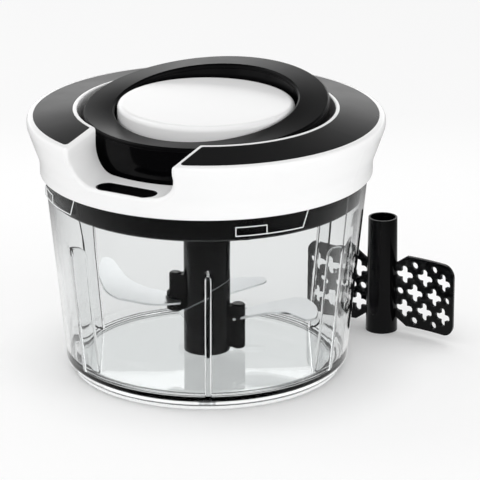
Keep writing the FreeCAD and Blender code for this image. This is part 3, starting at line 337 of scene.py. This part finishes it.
class Make(Enum):
    """The object's finishes, each started from what the real one is."""

    # Clear styrene-acrylonitrile from a polished mould: glass-like, with faint flow waves and
    # reflections quiet enough to see through.
    CLEAR_PLASTIC = Clear("clear_san_polished_moulding", "F3F4F4", 0.0, 1.52, gleam="484848",
                          patterns=(Pattern(18.0, depth_mm=0.01),))
    # Painted highlight: pale lines along the edges of the clear plastic's cut-outs, standing in for the
    # light that those edges bend and reflect.
    PAINTED_POCKET_HIGHLIGHT = Finish("painted_pocket_highlight_line", "F6F8F8", 0.2, 1.57,
                       patterns=(Pattern(2.0, shade="ECEFEF", gloss=0.05),))
    # Clear silicone rubber, satin: blurs what lies behind it a little.
    CLEAR_SILICONE = Clear("clear_silicone_satin_moulding", "F4F6F6", 0.12, 1.41, gleam="808080",
                           patterns=(Pattern(6.0, gloss=0.04), Pattern(1.5, depth_mm=0.004)))
    # White ABS from a polished mould: bright and clean, with broad soft highlights and the
    # faintest waves where it shrank.
    WHITE_PLASTIC = Finish("white_abs_polished_moulding", "F4F4F4", 0.25, 1.53, 0.4, edge_mm=0.5,
                           patterns=(Pattern(30.0, shade="F6F6F6"), Pattern(22.0, gloss=0.03),
                                     Pattern(25.0, 0.0, depth_mm=0.02)))
    # Black ABS from a polished mould: deep black that mirrors the room in thin streaks.
    BLACK_PLASTIC = Finish("black_abs_polished_moulding", "030304", 0.12, 1.53, 0.1, edge_mm=0.4,
                           patterns=(Pattern(20.0, shade="050506"), Pattern(12.0, gloss=0.03),
                                     Pattern(18.0, 0.0, depth_mm=0.02)))
    # Painted highlight: a thin grey line on the edge of the black column's seam, where light catches it.
    PAINTED_SEAM_HIGHLIGHT = Finish("painted_seam_highlight_line", "8E9092", 0.3, 1.53, 0.5,
                         patterns=(Pattern(3.0, shade="7A7C7E", gloss=0.08),))
    # Black ABS with a soft-touch coat over a fine grain: satin, paler where it turns away.
    SOFT_BLACK = Finish("black_soft_touch_coated_abs", "050506", 0.3, 1.45, 0.1, edge_mm=0.5,
                        patterns=(Pattern(0.5, 3.0, shade="080809", depth_mm=0.003),
                                  Pattern(16.0, gloss=0.04)))
    # Grey silicone seal: matte, faintly dusty.
    SEAL_SILICONE = Finish("grey_silicone_seal", "B9B9B6", 0.55, 1.41, 0.4, edge_mm=0.3,
                           patterns=(Pattern(0.4, 3.0, shade="C2C2BF", depth_mm=0.02),
                                     Pattern(10.0, gloss=0.05)))
    # Ground stainless steel: bright satin, with fine lines across the blade.
    BLADE_STEEL = Metal("ground_stainless_steel", "DADCDD", 0.3,
                        patterns=(Pattern(0.35, 4.0, (1.0, 0.12, 1.0), gloss=0.06, depth_mm=0.004),
                                  Pattern(8.0, shade="E3E4E5")))
    # Turned and zinc-plated steel: rings round the axis and a cool grey.
    TURNED_STEEL = Metal("turned_zinc_plated_steel", "AFB1B4", 0.24,
                         patterns=(Pattern(0.3, 4.0, (0.15, 0.15, 1.0), gloss=0.06, depth_mm=0.005),
                                   Pattern(5.0, shade="BCBEC0")))
    # Blued spring steel: dark, with the straw-blue drift of its heat tint.
    SPRING_STEEL = Metal("blued_spring_steel", "474F5B", 0.28,
                         patterns=(Pattern(0.4, 4.0, (0.15, 0.15, 1.0), gloss=0.06, depth_mm=0.004),
                                   Pattern(9.0, shade="5B5750")))
    # Turned brass: warm, finely ringed.
    BRASS = Metal("turned_brass", "C8A24C", 0.25,
                  patterns=(Pattern(0.3, 4.0, (0.15, 0.15, 1.0), gloss=0.06, depth_mm=0.005),
                            Pattern(5.0, shade="D0AE5E")))
    # Glass-filled nylon: dull black with fibres near the surface.
    NYLON = Finish("black_glass_filled_nylon", "0F0F10", 0.5, 1.53, 0.4, edge_mm=0.3,
                   patterns=(Pattern(0.3, 3.0, (1.0, 0.3, 1.0), shade="191919", depth_mm=0.01),
                             Pattern(6.0, gloss=0.05)))
    # Braided polyester cord: matte black, strands crossing.
    CORD = Braid("black_braided_polyester_cord", "141414", 0.75, 1.5, 0.3,
                 patterns=(Pattern(0.5, shade="202020"),))


SLOT_MAKES = {
    "clear_plastic": Make.CLEAR_PLASTIC,
    "clear_silicone": Make.CLEAR_SILICONE,
    "grey_silicone": Make.SEAL_SILICONE,
    "white_plastic": Make.WHITE_PLASTIC,
    "black_plastic": Make.BLACK_PLASTIC,
    "black_soft_plastic": Make.SOFT_BLACK,
    "blade_steel": Make.BLADE_STEEL,
    "turned_steel": Make.TURNED_STEEL,
    "spring_steel": Make.SPRING_STEEL,
    "brass": Make.BRASS,
    "black_nylon": Make.NYLON,
    "cord": Make.CORD,
}


class Palette:
    """Builds each finish the first time that it is asked for."""

    def __init__(self) -> None:
        """Start with nothing built."""
        self.built: dict[Make, bpy.types.Material] = {}

    def get(self, make: Make) -> bpy.types.Material:
        """Give the material of a finish.

        Args:
            make: The finish.

        Returns:
            Its material.
        """
        if make not in self.built:
            self.built[make] = make.value.build()
        return self.built[make]


# Shapes that repeat or follow a path


class ShapeTree:
    """A Geometry Nodes tree with named sizes, baked to a plain mesh."""

    def __init__(self, name: str) -> None:
        """Start an empty tree.

        Args:
            name: The tree's name, which its piece takes too.
        """
        self.name = name
        self.tree = bpy.data.node_groups.new(name, "GeometryNodeTree")
        self.tree.interface.new_socket("Geometry", in_out="OUTPUT", socket_type="NodeSocketGeometry")
        self.entry = add_node(self.tree, "NodeGroupInput")
        self.values: dict[str, Any] = {}

    def size(self, name: str, value: float | int | Point) -> Socket:
        """Add a named size.

        Args:
            name: What the size is.
            value: A length, angle, count, or place along three axes, in metres and radians.

        Returns:
            The socket that gives it.
        """
        kinds = {int: "NodeSocketInt", float: "NodeSocketFloat", tuple: "NodeSocketVector"}
        item = self.tree.interface.new_socket(name, in_out="INPUT", socket_type=kinds[type(value)])
        self.values[item.identifier] = value
        return self.entry.outputs[name]

    def add(self, kind: str, sockets: Optional[dict[Any, Any]] = None, **settings: Any) -> bpy.types.Node:
        """Add a node to this tree."""
        return add_node(self.tree, kind, sockets, **settings)

    def tube(self, path: Socket, radius: Socket, sides: int) -> Socket:
        """Lay a round tube with closed ends along a path.

        Args:
            path: The curve that it follows.
            radius: Its radius.
            sides: How many sides it has.

        Returns:
            The socket with the tube.
        """
        section = self.add("GeometryNodeCurvePrimitiveCircle", {"Resolution": sides, "Radius": radius})
        swept = self.add("GeometryNodeCurveToMesh", {
            "Curve": path, "Profile Curve": section.outputs["Curve"], "Fill Caps": True,
        })
        return swept.outputs["Mesh"]

    def bake(self, shapes: list[Socket], material: bpy.types.Material) -> bpy.types.Object:
        """End the tree, run it and keep its plain mesh.

        Args:
            shapes: The finished shapes.
            material: Their material.

        Returns:
            The piece.
        """
        together = self.add("GeometryNodeJoinGeometry", {"Geometry": shapes})
        whole = self.add("GeometryNodeRealizeInstances", {"Geometry": together.outputs["Geometry"]})
        dressed = self.add("GeometryNodeSetMaterial", {
            "Geometry": whole.outputs["Geometry"], "Material": material,
        })
        self.add("NodeGroupOutput", {"Geometry": dressed.outputs["Geometry"]})
        carrier = add_object("carrier", bpy.data.meshes.new("carrier"))
        modifier = carrier.modifiers.new(self.name, "NODES")
        modifier.node_group = self.tree
        for identifier, value in self.values.items():
            modifier[identifier] = value
        depsgraph = bpy.context.evaluated_depsgraph_get()
        mesh = bpy.data.meshes.new_from_object(carrier.evaluated_get(depsgraph))
        carrier.modifiers.remove(modifier)
        bpy.data.objects.remove(carrier)
        mesh.name = self.name
        return add_object(self.name, mesh)


@dataclass(frozen=True)
class ScrewCircle:
    """Equal cross-recess pan-head screws on a circle, their heads down unless turned over.

    The recess's three sizes are shares of the head's radius and height, the tip's is a share of the
    core's radius, and the core's, the pitch's and the thread's are shares of the shank's radius.
    """

    circle: float
    count: int
    first_angle: float
    length: float
    head_radius: float = 2.8 * MM
    head_height: float = 2.2 * MM
    shank_radius: float = 1.5 * MM
    heads_up: bool = False
    sides: int = 20
    recess_length: float = 1.15
    recess_width: float = 0.24
    recess_depth: float = 1.1
    core_share: float = 0.86
    pitch_share: float = 0.75
    tip_share: float = 0.3
    thread_share: float = 0.14
    thread_steps: int = 14
    thread_sides: int = 4

    def build(self, name: str, height: float, material: bpy.types.Material) -> bpy.types.Object:
        """Make the screws.

        Args:
            name: The piece's name.
            height: Height of the crowns of the heads, in metres.
            material: Their material.

        Returns:
            The piece.
        """
        shape = ShapeTree(name)
        screw = shape.add("GeometryNodeJoinGeometry", {
            "Geometry": [self.head(shape), *self.shank(shape)],
        })
        over = shape.add("GeometryNodeTransform", {
            "Geometry": screw.outputs["Geometry"],
            "Rotation": shape.size("Turn over", (math.pi if self.heads_up else 0.0, 0.0, 0.0)),
        })
        spots = shape.add("GeometryNodeMeshCircle", {
            "Vertices": shape.size("Count", self.count), "Radius": shape.size("Circle radius", self.circle),
        })
        ring = shape.add("GeometryNodeInstanceOnPoints", {
            "Points": spots.outputs["Mesh"], "Instance": over.outputs["Geometry"],
        })
        placed = shape.add("GeometryNodeTransform", {
            "Geometry": ring.outputs["Instances"],
            "Translation": shape.size("Height", (0.0, 0.0, height)),
            "Rotation": shape.size("First angle", (0.0, 0.0, math.radians(self.first_angle))),
        })
        return shape.bake([placed.outputs["Geometry"]], material)

    def head(self, shape: ShapeTree) -> Socket:
        """Add a domed head with its cross recess, its crown at height zero and pointing down.

        Args:
            shape: The tree.

        Returns:
            The socket with the head.
        """
        radius, height = self.head_radius, self.head_height
        ball = shape.add("GeometryNodeMeshUVSphere", {
            "Segments": self.sides, "Rings": self.sides // 2, "Radius": shape.size("Head radius", radius),
        })
        dome = shape.add("GeometryNodeTransform", {
            "Geometry": ball.outputs["Mesh"],
            "Translation": shape.size("Head seat", (0.0, 0.0, height)),
            "Scale": shape.size("Head flatness", (1.0, 1.0, height / radius)),
        })
        above = shape.add("GeometryNodeMeshCube", {
            "Size": shape.size("Cut above the seat", (4 * radius, 4 * radius, 2 * height)),
        })
        lifted = shape.add("GeometryNodeTransform", {
            "Geometry": above.outputs["Mesh"],
            "Translation": shape.size("Place of the cut", (0.0, 0.0, 2 * height)),
        })
        slot = shape.add("GeometryNodeMeshCube", {
            "Size": shape.size("Recess arm", (
                self.recess_length * radius, self.recess_width * radius, self.recess_depth * height,
            )),
        })
        crossing = shape.add("GeometryNodeTransform", {
            "Geometry": slot.outputs["Mesh"], "Rotation": (0.0, 0.0, math.pi / 2),
        })
        cut = shape.add("GeometryNodeMeshBoolean", {
            "Mesh 1": dome.outputs["Geometry"],
            "Mesh 2": [lifted.outputs["Geometry"], slot.outputs["Mesh"], crossing.outputs["Geometry"]],
        }, operation="DIFFERENCE", solver="EXACT")
        return cut.outputs["Mesh"]

    def shank(self, shape: ShapeTree) -> list[Socket]:
        """Add the shank, its tip and its thread.

        Args:
            shape: The tree.

        Returns:
            The sockets with the three.
        """
        core = self.core_share * self.shank_radius
        pitch = self.pitch_share * self.shank_radius
        core_radius = shape.size("Core radius", core)
        length = shape.size("Length", self.length)
        shank = shape.add("GeometryNodeMeshCylinder", {
            "Vertices": self.sides, "Radius": core_radius, "Depth": length,
        })
        tip = shape.add("GeometryNodeMeshCone", {
            "Vertices": self.sides, "Radius Top": shape.size("Tip radius", self.tip_share * core),
            "Radius Bottom": core_radius, "Depth": shape.size("Tip length", self.shank_radius),
        })
        helix = shape.add("GeometryNodeCurveSpiral", {
            "Resolution": self.thread_steps, "Rotations": shape.size("Turns", self.length / pitch),
            "Start Radius": core_radius, "End Radius": core_radius, "Height": length,
        })
        height = shape.size("Thread height", self.thread_share * self.shank_radius)
        thread = shape.tube(helix.outputs["Curve"], height, self.thread_sides)
        middles = (
            (shank.outputs["Mesh"], "Shank middle", self.head_height + self.length / 2),
            (tip.outputs["Mesh"], "Tip start", self.head_height + self.length),
            (thread, "Thread start", self.head_height),
        )
        shapes = []
        for part, label, drop in middles:
            placed = shape.add("GeometryNodeTransform", {
                "Geometry": part, "Translation": shape.size(label, (0.0, 0.0, drop)),
            })
            shapes.append(placed.outputs["Geometry"])
        return shapes


# The object's sub-assemblies


@dataclass
class SubAssembly:
    """Pieces that are made and dressed together."""

    frame: Frame
    palette: Palette

    def dress(self, *nodes: str) -> None:
        """Give nodes the finish that the record's slot names.

        Args:
            *nodes: The nodes' names.
        """
        slots = {row["node"]: row["material_slot"] for row in self.frame["record"]["subparts"]}
        for node in nodes:
            make = SLOT_MAKES[slots[node]]
            for slot in self.frame["nodes"][node].material_slots:
                slot.material = self.palette.get(make)
            LOG.info("dressed %s: %s", node, make.value.name)

    def put(self, piece: bpy.types.Object, body: str, slot: str, *replaced: str) -> None:
        """Let a new piece ride on a body, and stand for nodes where it does.

        Args:
            piece: The new piece.
            body: The body's name.
            slot: The record's material slot, not used.
            *replaced: The nodes that it stands for.
        """
        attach(piece, body)
        if replaced:
            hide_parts(*replaced)
        LOG.info("made %s with %d faces", piece.name, len(piece.data.polygons))

    def fasten(self, node: str, body: str, screws: ScrewCircle) -> None:
        """Put detailed screws in the place of a node.

        Args:
            node: The node that they stand for.
            body: The body that they ride on.
            screws: Their sizes.
        """
        low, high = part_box(node)
        crown = high[2] if screws.heads_up else low[2]
        piece = screws.build("cross_" + node, crown, self.palette.get(Make.TURNED_STEEL))
        self.put(piece, body, "turned_steel", node)


@dataclass
class Bowl(SubAssembly):
    """Clear bowl, its pin, its foot pad and the painted highlight lines along its bayonet pockets."""

    pocket_count: int = 4
    entry_top_angle: float = -22.4
    entry_angle: float = -24.7
    lock_angle: float = -49.8
    stop_angle: float = -38.8
    pocket_bottom: float = 105.1 * MM
    lock_top: float = 110.0 * MM
    entry_top: float = 114.7 * MM
    edge_radius: float = 0.31 * MM
    edge_proud: float = 0.1 * MM
    edge_steps: int = 24
    edge_sides: int = 6

    def build(self) -> None:
        """Make and dress the bowl's pieces."""
        self.dress("bowl", "bowl_pivot_pin", "base_pad")
        # The pale tubes along the pockets are painted highlights.
        self.put(self.painted_pocket_highlights(), "bowl", "clear_plastic")

    def painted_pocket_highlights(self) -> bpy.types.Object:
        """Make the painted highlight lines round the bayonet pockets, thin pale tubes that follow the
        bowl's wall.

        Each is drawn flat, angle across and height up, and then wrapped round the wall.

        Returns:
            The piece.
        """
        shape = ShapeTree("painted_pocket_highlights")
        wall = shape.size("Wall radius", float(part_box("bowl")[1][0]) + self.edge_proud)
        route = (
            (self.entry_top_angle, self.entry_top, self.entry_angle, self.pocket_bottom),
            (self.entry_angle, self.pocket_bottom, self.lock_angle, self.pocket_bottom),
            (self.lock_angle, self.pocket_bottom, self.lock_angle, self.lock_top),
            (self.lock_angle, self.lock_top, self.stop_angle, self.lock_top),
            (self.stop_angle, self.pocket_bottom, self.stop_angle, self.lock_top),
        )
        lines = []
        for index, (angle, height, next_angle, next_height) in enumerate(route):
            line = shape.add("GeometryNodeCurvePrimitiveLine", {
                "Start": shape.size(f"Edge {index} start", (math.radians(angle), height, 0.0)),
                "End": shape.size(f"Edge {index} end", (math.radians(next_angle), next_height, 0.0)),
            })
            lines.append(line.outputs["Curve"])
        together = shape.add("GeometryNodeJoinGeometry", {"Geometry": lines})
        even = shape.add("GeometryNodeResampleCurve", {
            "Curve": together.outputs["Geometry"], "Count": self.edge_steps,
        })
        place = shape.add("GeometryNodeInputPosition")
        flat = shape.add("ShaderNodeSeparateXYZ", {"Vector": place.outputs["Position"]})
        ahead = shape.add("ShaderNodeCombineXYZ", {"X": wall, "Z": flat.outputs["Y"]})
        round_wall = shape.add("ShaderNodeVectorRotate", {
            "Vector": ahead.outputs["Vector"], "Angle": flat.outputs["X"],
        }, rotation_type="Z_AXIS")
        wrapped = shape.add("GeometryNodeSetPosition", {
            "Geometry": even.outputs["Curve"], "Position": round_wall.outputs["Vector"],
        })
        radius = shape.size("Edge radius", self.edge_radius)
        pocket = shape.tube(wrapped.outputs["Geometry"], radius, self.edge_sides)
        pockets = []
        for index in range(self.pocket_count):
            turned = shape.add("GeometryNodeTransform", {
                "Geometry": pocket, "Rotation": (0.0, 0.0, 2 * math.pi * index / self.pocket_count),
            })
            pockets.append(turned.outputs["Geometry"])
        return shape.bake(pockets, self.palette.get(Make.PAINTED_POCKET_HIGHLIGHT))


@dataclass
class Lid(SubAssembly):
    """White lid shell, its black tray and collar, the soft pad, the cap and the seal."""

    tray_screws: ScrewCircle = ScrewCircle(62.0 * MM, 4, 45.0, 14.0 * MM)
    shell_screws: ScrewCircle = ScrewCircle(80.0 * MM, 4, 45.0, 14.0 * MM)

    def build(self) -> None:
        """Make and dress the lid's pieces."""
        self.dress("lid_shell", "lid_tray", "lid_collar", "grip_pad", "boss_cap", "slot_liner", "lid_seal")
        self.fasten("tray_screws", "lid", self.tray_screws)
        self.fasten("shell_screws", "lid", self.shell_screws)


@dataclass
class CordDrive(SubAssembly):
    """Drum, cord, recoil spring, shaft and bearings inside the lid."""

    cord_radius: float = 1.1 * MM
    cord_sides: int = 12
    turn_steps: int = 48
    core_sides: int = 64
    lead_rings: int = 24
    spring_screws: ScrewCircle = ScrewCircle(
        41.3 * MM, 3, 90.0, 15.0 * MM, head_radius=2.0 * MM, head_height=1.4 * MM,
        shank_radius=1.1 * MM, heads_up=True)

    def build(self) -> None:
        """Make and dress the drive's pieces."""
        self.dress("cord_spool", "drive_shaft", "drive_dog", "shaft_washer", "shaft_clip", "spring_arbor",
                   "recoil_spring", "spring_cup", "spring_cover", "lower_shaft_bush", "upper_shaft_bush",
                   "cord_guide_pin", "cord_outlet_bush", "cord_run")
        self.fasten("spring_screws", "lid", self.spring_screws)
        self.put(self.winding(), "spool", "cord", "cord_winding")
        self.lead()

    def winding(self) -> bpy.types.Object:
        """Make the cord wound on the drum: its outer turns over a plain core.

        Returns:
            The piece.
        """
        low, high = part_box("cord_winding")
        bottom, rise = float(low[2]), float(high[2] - low[2])
        shape = ShapeTree("cord_turns")
        radius = shape.size("Cord radius", self.cord_radius)
        middle = shape.size("Middle of the outer turns", float(high[0]) - self.cord_radius)
        helix = shape.add("GeometryNodeCurveSpiral", {
            "Resolution": self.turn_steps,
            "Rotations": shape.size("Turns", rise / (2 * self.cord_radius) - 1),
            "Start Radius": middle, "End Radius": middle,
            "Height": shape.size("Height of the turns", rise - 2 * self.cord_radius),
        })
        core = shape.add("GeometryNodeMeshCylinder", {
            "Vertices": self.core_sides, "Radius": middle, "Depth": shape.size("Height", rise),
        })
        turns = shape.add("GeometryNodeTransform", {
            "Geometry": shape.tube(helix.outputs["Curve"], radius, self.cord_sides),
            "Translation": shape.size("First turn", (0.0, 0.0, bottom + self.cord_radius)),
        })
        plain = shape.add("GeometryNodeTransform", {
            "Geometry": core.outputs["Mesh"],
            "Translation": shape.size("Core middle", (0.0, 0.0, bottom + rise / 2)),
        })
        return shape.bake([turns.outputs["Geometry"], plain.outputs["Geometry"]],
                          self.palette.get(Make.CORD))

    def lead(self) -> None:
        """Make the short cord between the lid and the handle as one straight tube. On the real chopper it
        pays out as the handle rises.
        """
        low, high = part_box("cord_lead")
        x, y = float(low[0] + high[0]) / 2, float(low[1] + high[1]) / 2
        start, end = (x, y, float(low[2])), (x, y, float(high[2]))
        shape = ShapeTree("cord_lead_tube")
        line = shape.add("GeometryNodeCurvePrimitiveLine", {
            "Start": shape.size("Start", start), "End": shape.size("End", end),
        })
        rings = shape.add("GeometryNodeResampleCurve", {
            "Curve": line.outputs["Curve"], "Count": shape.size("Rings", self.lead_rings),
        })
        radius = shape.size("Cord radius", self.cord_radius)
        piece = shape.bake([shape.tube(rings.outputs["Curve"], radius, self.cord_sides)],
                           self.palette.get(Make.CORD))
        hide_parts("cord_lead")
        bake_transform(piece)
        LOG.info("made %s, blended from the lid to the handle", piece.name)


@dataclass
class RingHandle(SubAssembly):
    """Black ring that the hand pulls, its cover, its screws and the cord's anchor."""

    ring_screws: ScrewCircle = ScrewCircle(59.85 * MM, 4, 45.0, 9.0 * MM)

    def build(self) -> None:
        """Make and dress the handle's pieces."""
        self.dress("handle_ring", "handle_cover", "cord_anchor")
        self.fasten("handle_screws", "handle", self.ring_screws)


@dataclass
class BladeColumn(SubAssembly):
    """Two-part black column with three curved steel blades, and a painted highlight on its seam."""

    seam_circle: float = 13.0 * MM
    seam_height: float = 40.7 * MM
    seam_tilt: float = 37.3
    seam_direction: float = 14.3
    seam_radius: float = 0.28 * MM
    seam_points: int = 96
    seam_sides: int = 8

    def build(self) -> None:
        """Make and dress the column's pieces."""
        self.dress("blade_sleeve", "blade_hub", "blade_upper", "blade_lower", "blade_rear",
                   "blade_rivets", "pivot_bush")
        # The grey tube on the seam is a painted highlight.
        self.put(self.seam(), "blades", "black_plastic")

    def seam(self) -> bpy.types.Object:
        """Make the painted highlight along the slanted seam between the column's halves, a thin grey tube.

        It is a circle round the column, sheared up along the seam's direction.

        Returns:
            The piece.
        """
        shape = ShapeTree("painted_column_seam_highlight")
        circle = shape.add("GeometryNodeCurvePrimitiveCircle", {
            "Resolution": shape.size("Points", self.seam_points),
            "Radius": shape.size("Seam circle", self.seam_circle),
        })
        place = shape.add("GeometryNodeInputPosition")
        across = shape.add("ShaderNodeSeparateXYZ", {"Vector": place.outputs["Position"]})
        lift = shape.add("ShaderNodeMath", {
            0: across.outputs["X"], 1: shape.size("Rise", math.tan(math.radians(self.seam_tilt))),
        }, operation="MULTIPLY")
        offset = shape.add("ShaderNodeCombineXYZ", {"Z": lift.outputs[0]})
        sheared = shape.add("GeometryNodeSetPosition", {
            "Geometry": circle.outputs["Curve"], "Offset": offset.outputs["Vector"],
        })
        radius = shape.size("Edge radius", self.seam_radius)
        line = shape.tube(sheared.outputs["Geometry"], radius, self.seam_sides)
        placed = shape.add("GeometryNodeTransform", {
            "Geometry": line,
            "Translation": shape.size("Height", (0.0, 0.0, self.seam_height)),
            "Rotation": shape.size("Direction", (0.0, 0.0, math.radians(self.seam_direction))),
        })
        return shape.bake([placed.outputs["Geometry"]], self.palette.get(Make.PAINTED_SEAM_HIGHLIGHT))


@dataclass
class MixingPaddle(SubAssembly):
    """Black paddle with two curved wings of cross-shaped holes."""

    def build(self) -> None:
        """Dress the paddle."""
        self.dress("mixing_paddle")


# Camera, floor and lights


@dataclass(frozen=True)
class Lamp:
    """A soft lamp that faces the object. The camera sees it only in reflections."""

    name: str
    place: Point
    width: float
    height: float
    watts: float
    aim: Point = (0.0, 0.0, 0.12)

    def hang(self) -> None:
        """Hang the lamp."""
        data = bpy.data.lights.new(self.name, "AREA")
        data.shape = "RECTANGLE"
        data.size = self.width
        data.size_y = self.height
        data.energy = self.watts
        lamp = add_object(self.name, data)
        lamp.location = self.place
        toward = Vector(self.aim) - Vector(self.place)
        lamp.rotation_euler = toward.to_track_quat("-Z", "Y").to_euler()
        lamp.visible_camera = False


@dataclass
class Studio:
    """White sweep under soft lamps, seen from the photograph's place."""

    eye: Point = (0.92605, -1.58792, 0.70605)
    sight: Point = (-0.46789, 0.82148, -0.32594)
    lens_mm: float = 258.81
    sensor_mm: float = 36.0
    farthest: float = 50.0
    floor_size: float = 12.0
    # The share of the floor that shows plain white, and how near to things and how fast that glow fades by
    # ambient occlusion: painted contact shade, over which the floor's real shadow shows.
    floor_glow: float = 0.66
    contact_shade_reach: float = 0.05
    contact_shade_depth: float = 2.5
    # A painted pool of light: where the floor starts and ends growing dark in mirrors, and how bright it is
    # from there on.
    pool_inner: float = 0.18
    pool_outer: float = 0.36
    pool_edge: float = 0.12
    # The room's even light, and in mirrors the parts of it that are dark: the camera's side, by
    # how far a direction points there, and overhead, by how far it points up.
    fill: float = 0.6
    dark_side: float = 0.08
    side_from: float = -0.3
    side_to: float = 0.5
    overhead: float = 0.12
    up_from: float = 0.08
    up_to: float = 0.6
    lamps: tuple[Lamp, ...] = (
        Lamp("right_lamp", (1.75, -0.15, 0.65), 1.2, 1.0, 9.5),
        Lamp("front_lamp", (0.8, -1.3, 1.2), 1.0, 0.8, 5.0),
        Lamp("left_front_lamp", (-0.9, -1.5, 0.6), 1.2, 1.0, 6.0),
        Lamp("left_lamp", (-1.5, -0.2, 1.5), 1.0, 1.0, 7.5),
        Lamp("rear_strip", (-0.22, 0.34, 0.235), 0.62, 0.11, 0.27),
    )

    def build(self) -> None:
        """Set up everything that isn't the object."""
        bpy.context.scene.view_settings.view_transform = "Standard"
        self.add_camera()
        self.add_floor()
        self.add_world()
        for lamp in self.lamps:
            lamp.hang()
        LOG.info("studio is set")

    def add_camera(self) -> None:
        """Put the camera where the photograph was taken from."""
        data = bpy.data.cameras.new("camera")
        data.lens = self.lens_mm
        data.sensor_width = self.sensor_mm
        data.clip_end = self.farthest
        camera = add_object("camera", data)
        camera.location = self.eye
        camera.rotation_euler = Vector(self.sight).to_track_quat("-Z", "Y").to_euler()
        bpy.context.scene.camera = camera

    def add_floor(self) -> None:
        """Add the floor."""
        mesh = bpy.data.meshes.new("floor")
        half = self.floor_size / 2
        mesh.from_pydata([(-half, -half, 0), (half, -half, 0), (half, half, 0), (-half, half, 0)],
                         [], [(0, 1, 2, 3)])
        mesh.materials.append(self.sweep())
        add_object("floor", mesh)

    def sweep(self) -> bpy.types.Material:
        """Make white paper that keeps the object's shadow.

        Mirrors show it white near the object and darker further off: a painted pool of light.
        Seen straight on, its glow fades near things: painted contact shade.

        Returns:
            The floor's material.
        """
        material = bpy.data.materials.new("white_paper_sweep")
        tree = emptied(material)
        path = add_node(tree, "ShaderNodeLightPath")
        mirrored = add_node(tree, "ShaderNodeMath", {
            0: path.outputs["Is Glossy Ray"], 1: path.outputs["Is Transmission Ray"],
        }, operation="MAXIMUM")
        # Near things, seen straight on, the white glow fades by ambient occlusion: painted contact shade.
        near = add_node(tree, "ShaderNodeAmbientOcclusion", {"Distance": self.contact_shade_reach})
        bare = add_node(tree, "ShaderNodeMath", {0: near.outputs["AO"], 1: self.contact_shade_depth},
                        operation="POWER")
        direct = add_node(tree, "ShaderNodeMath", {
            0: path.outputs["Is Camera Ray"], 1: bare.outputs[0],
        }, operation="MULTIPLY")
        shown = add_node(tree, "ShaderNodeMath", {0: direct.outputs[0], 1: mirrored.outputs[0]},
                         operation="MAXIMUM")
        share = add_node(tree, "ShaderNodeMath", {0: shown.outputs[0], 1: self.floor_glow},
                         operation="MULTIPLY")
        matte = add_node(tree, "ShaderNodeBsdfDiffuse", {"Color": linear(WHITE)})
        glow = add_node(tree, "ShaderNodeEmission", {"Color": linear(WHITE), "Strength": 1.0})
        lit = add_node(tree, "ShaderNodeMixShader", {
            0: share.outputs[0], 1: matte.outputs[0], 2: glow.outputs[0],
        })
        # Mirrors see the floor dim further from the object: a painted pool of light.
        place = add_node(tree, "ShaderNodeTexCoord")
        reach = add_node(tree, "ShaderNodeVectorMath", {0: place.outputs["Object"]}, operation="LENGTH")
        fall = add_node(tree, "ShaderNodeMapRange", {
            "Value": reach.outputs["Value"], "From Min": self.pool_inner, "From Max": self.pool_outer,
        })
        gloss = add_node(tree, "ShaderNodeMath", {0: path.outputs["Glossy Depth"], 1: 1.0},
                         operation="MINIMUM")
        away = add_node(tree, "ShaderNodeMath", {0: fall.outputs["Result"], 1: gloss.outputs[0]},
                        operation="MULTIPLY")
        dim = add_node(tree, "ShaderNodeEmission", {"Color": linear(WHITE), "Strength": self.pool_edge})
        whole = add_node(tree, "ShaderNodeMixShader", {
            0: away.outputs[0], 1: lit.outputs[0], 2: dim.outputs[0],
        })
        add_node(tree, "ShaderNodeOutputMaterial", {"Surface": whole.outputs[0]})
        return material

    def add_world(self) -> None:
        """Fill evenly, show white behind, and keep the room dark overhead and where the camera is."""
        world = bpy.data.worlds.new("studio")
        tree = emptied(world)
        toward = Vector((-self.sight[0], -self.sight[1], 0.0)).normalized()
        way = add_node(tree, "ShaderNodeTexCoord")
        facing = add_node(tree, "ShaderNodeVectorMath", {0: way.outputs["Generated"], 1: tuple(toward)},
                          operation="DOT_PRODUCT")
        rising = add_node(tree, "ShaderNodeSeparateXYZ", {"Vector": way.outputs["Generated"]})
        side = add_node(tree, "ShaderNodeMapRange", {
            "Value": facing.outputs["Value"], "From Min": self.side_from, "From Max": self.side_to,
            "To Min": 1.0, "To Max": self.dark_side,
        }, interpolation_type="SMOOTHSTEP")
        up = add_node(tree, "ShaderNodeMapRange", {
            "Value": rising.outputs["Z"], "From Min": self.up_from, "From Max": self.up_to,
            "To Min": 1.0, "To Max": self.overhead,
        }, interpolation_type="SMOOTHSTEP")
        room = add_node(tree, "ShaderNodeMath", {0: side.outputs["Result"], 1: up.outputs["Result"]},
                        operation="MULTIPLY")
        path = add_node(tree, "ShaderNodeLightPath")
        mirrored = add_node(tree, "ShaderNodeMix", {
            MIX_SHARE: path.outputs["Is Glossy Ray"], MIX_FROM: self.fill, MIX_TO: room.outputs[0],
        })
        shown = add_node(tree, "ShaderNodeMath", {
            0: path.outputs["Is Camera Ray"], 1: path.outputs["Is Transmission Ray"],
        }, operation="MAXIMUM")
        strength = add_node(tree, "ShaderNodeMix", {
            MIX_SHARE: shown.outputs[0], MIX_FROM: mirrored.outputs[0], MIX_TO: 1.0,
        })
        light = add_node(tree, "ShaderNodeBackground", {
            "Color": linear(WHITE), "Strength": strength.outputs[0],
        })
        add_node(tree, "ShaderNodeOutputWorld", {"Surface": light.outputs[0]})
        bpy.context.scene.world = world


def main() -> None:
    """Build the scene in order."""
    logging.basicConfig(level=logging.INFO, format="%(message)s")
    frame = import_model()
    Studio().build()
    palette = Palette()
    for kind in (Bowl, Lid, CordDrive, RingHandle, BladeColumn, MixingPaddle):
        kind(frame, palette).build()
        LOG.info("finished the %s", kind.__name__)


if __name__ == "__main__":
    main()
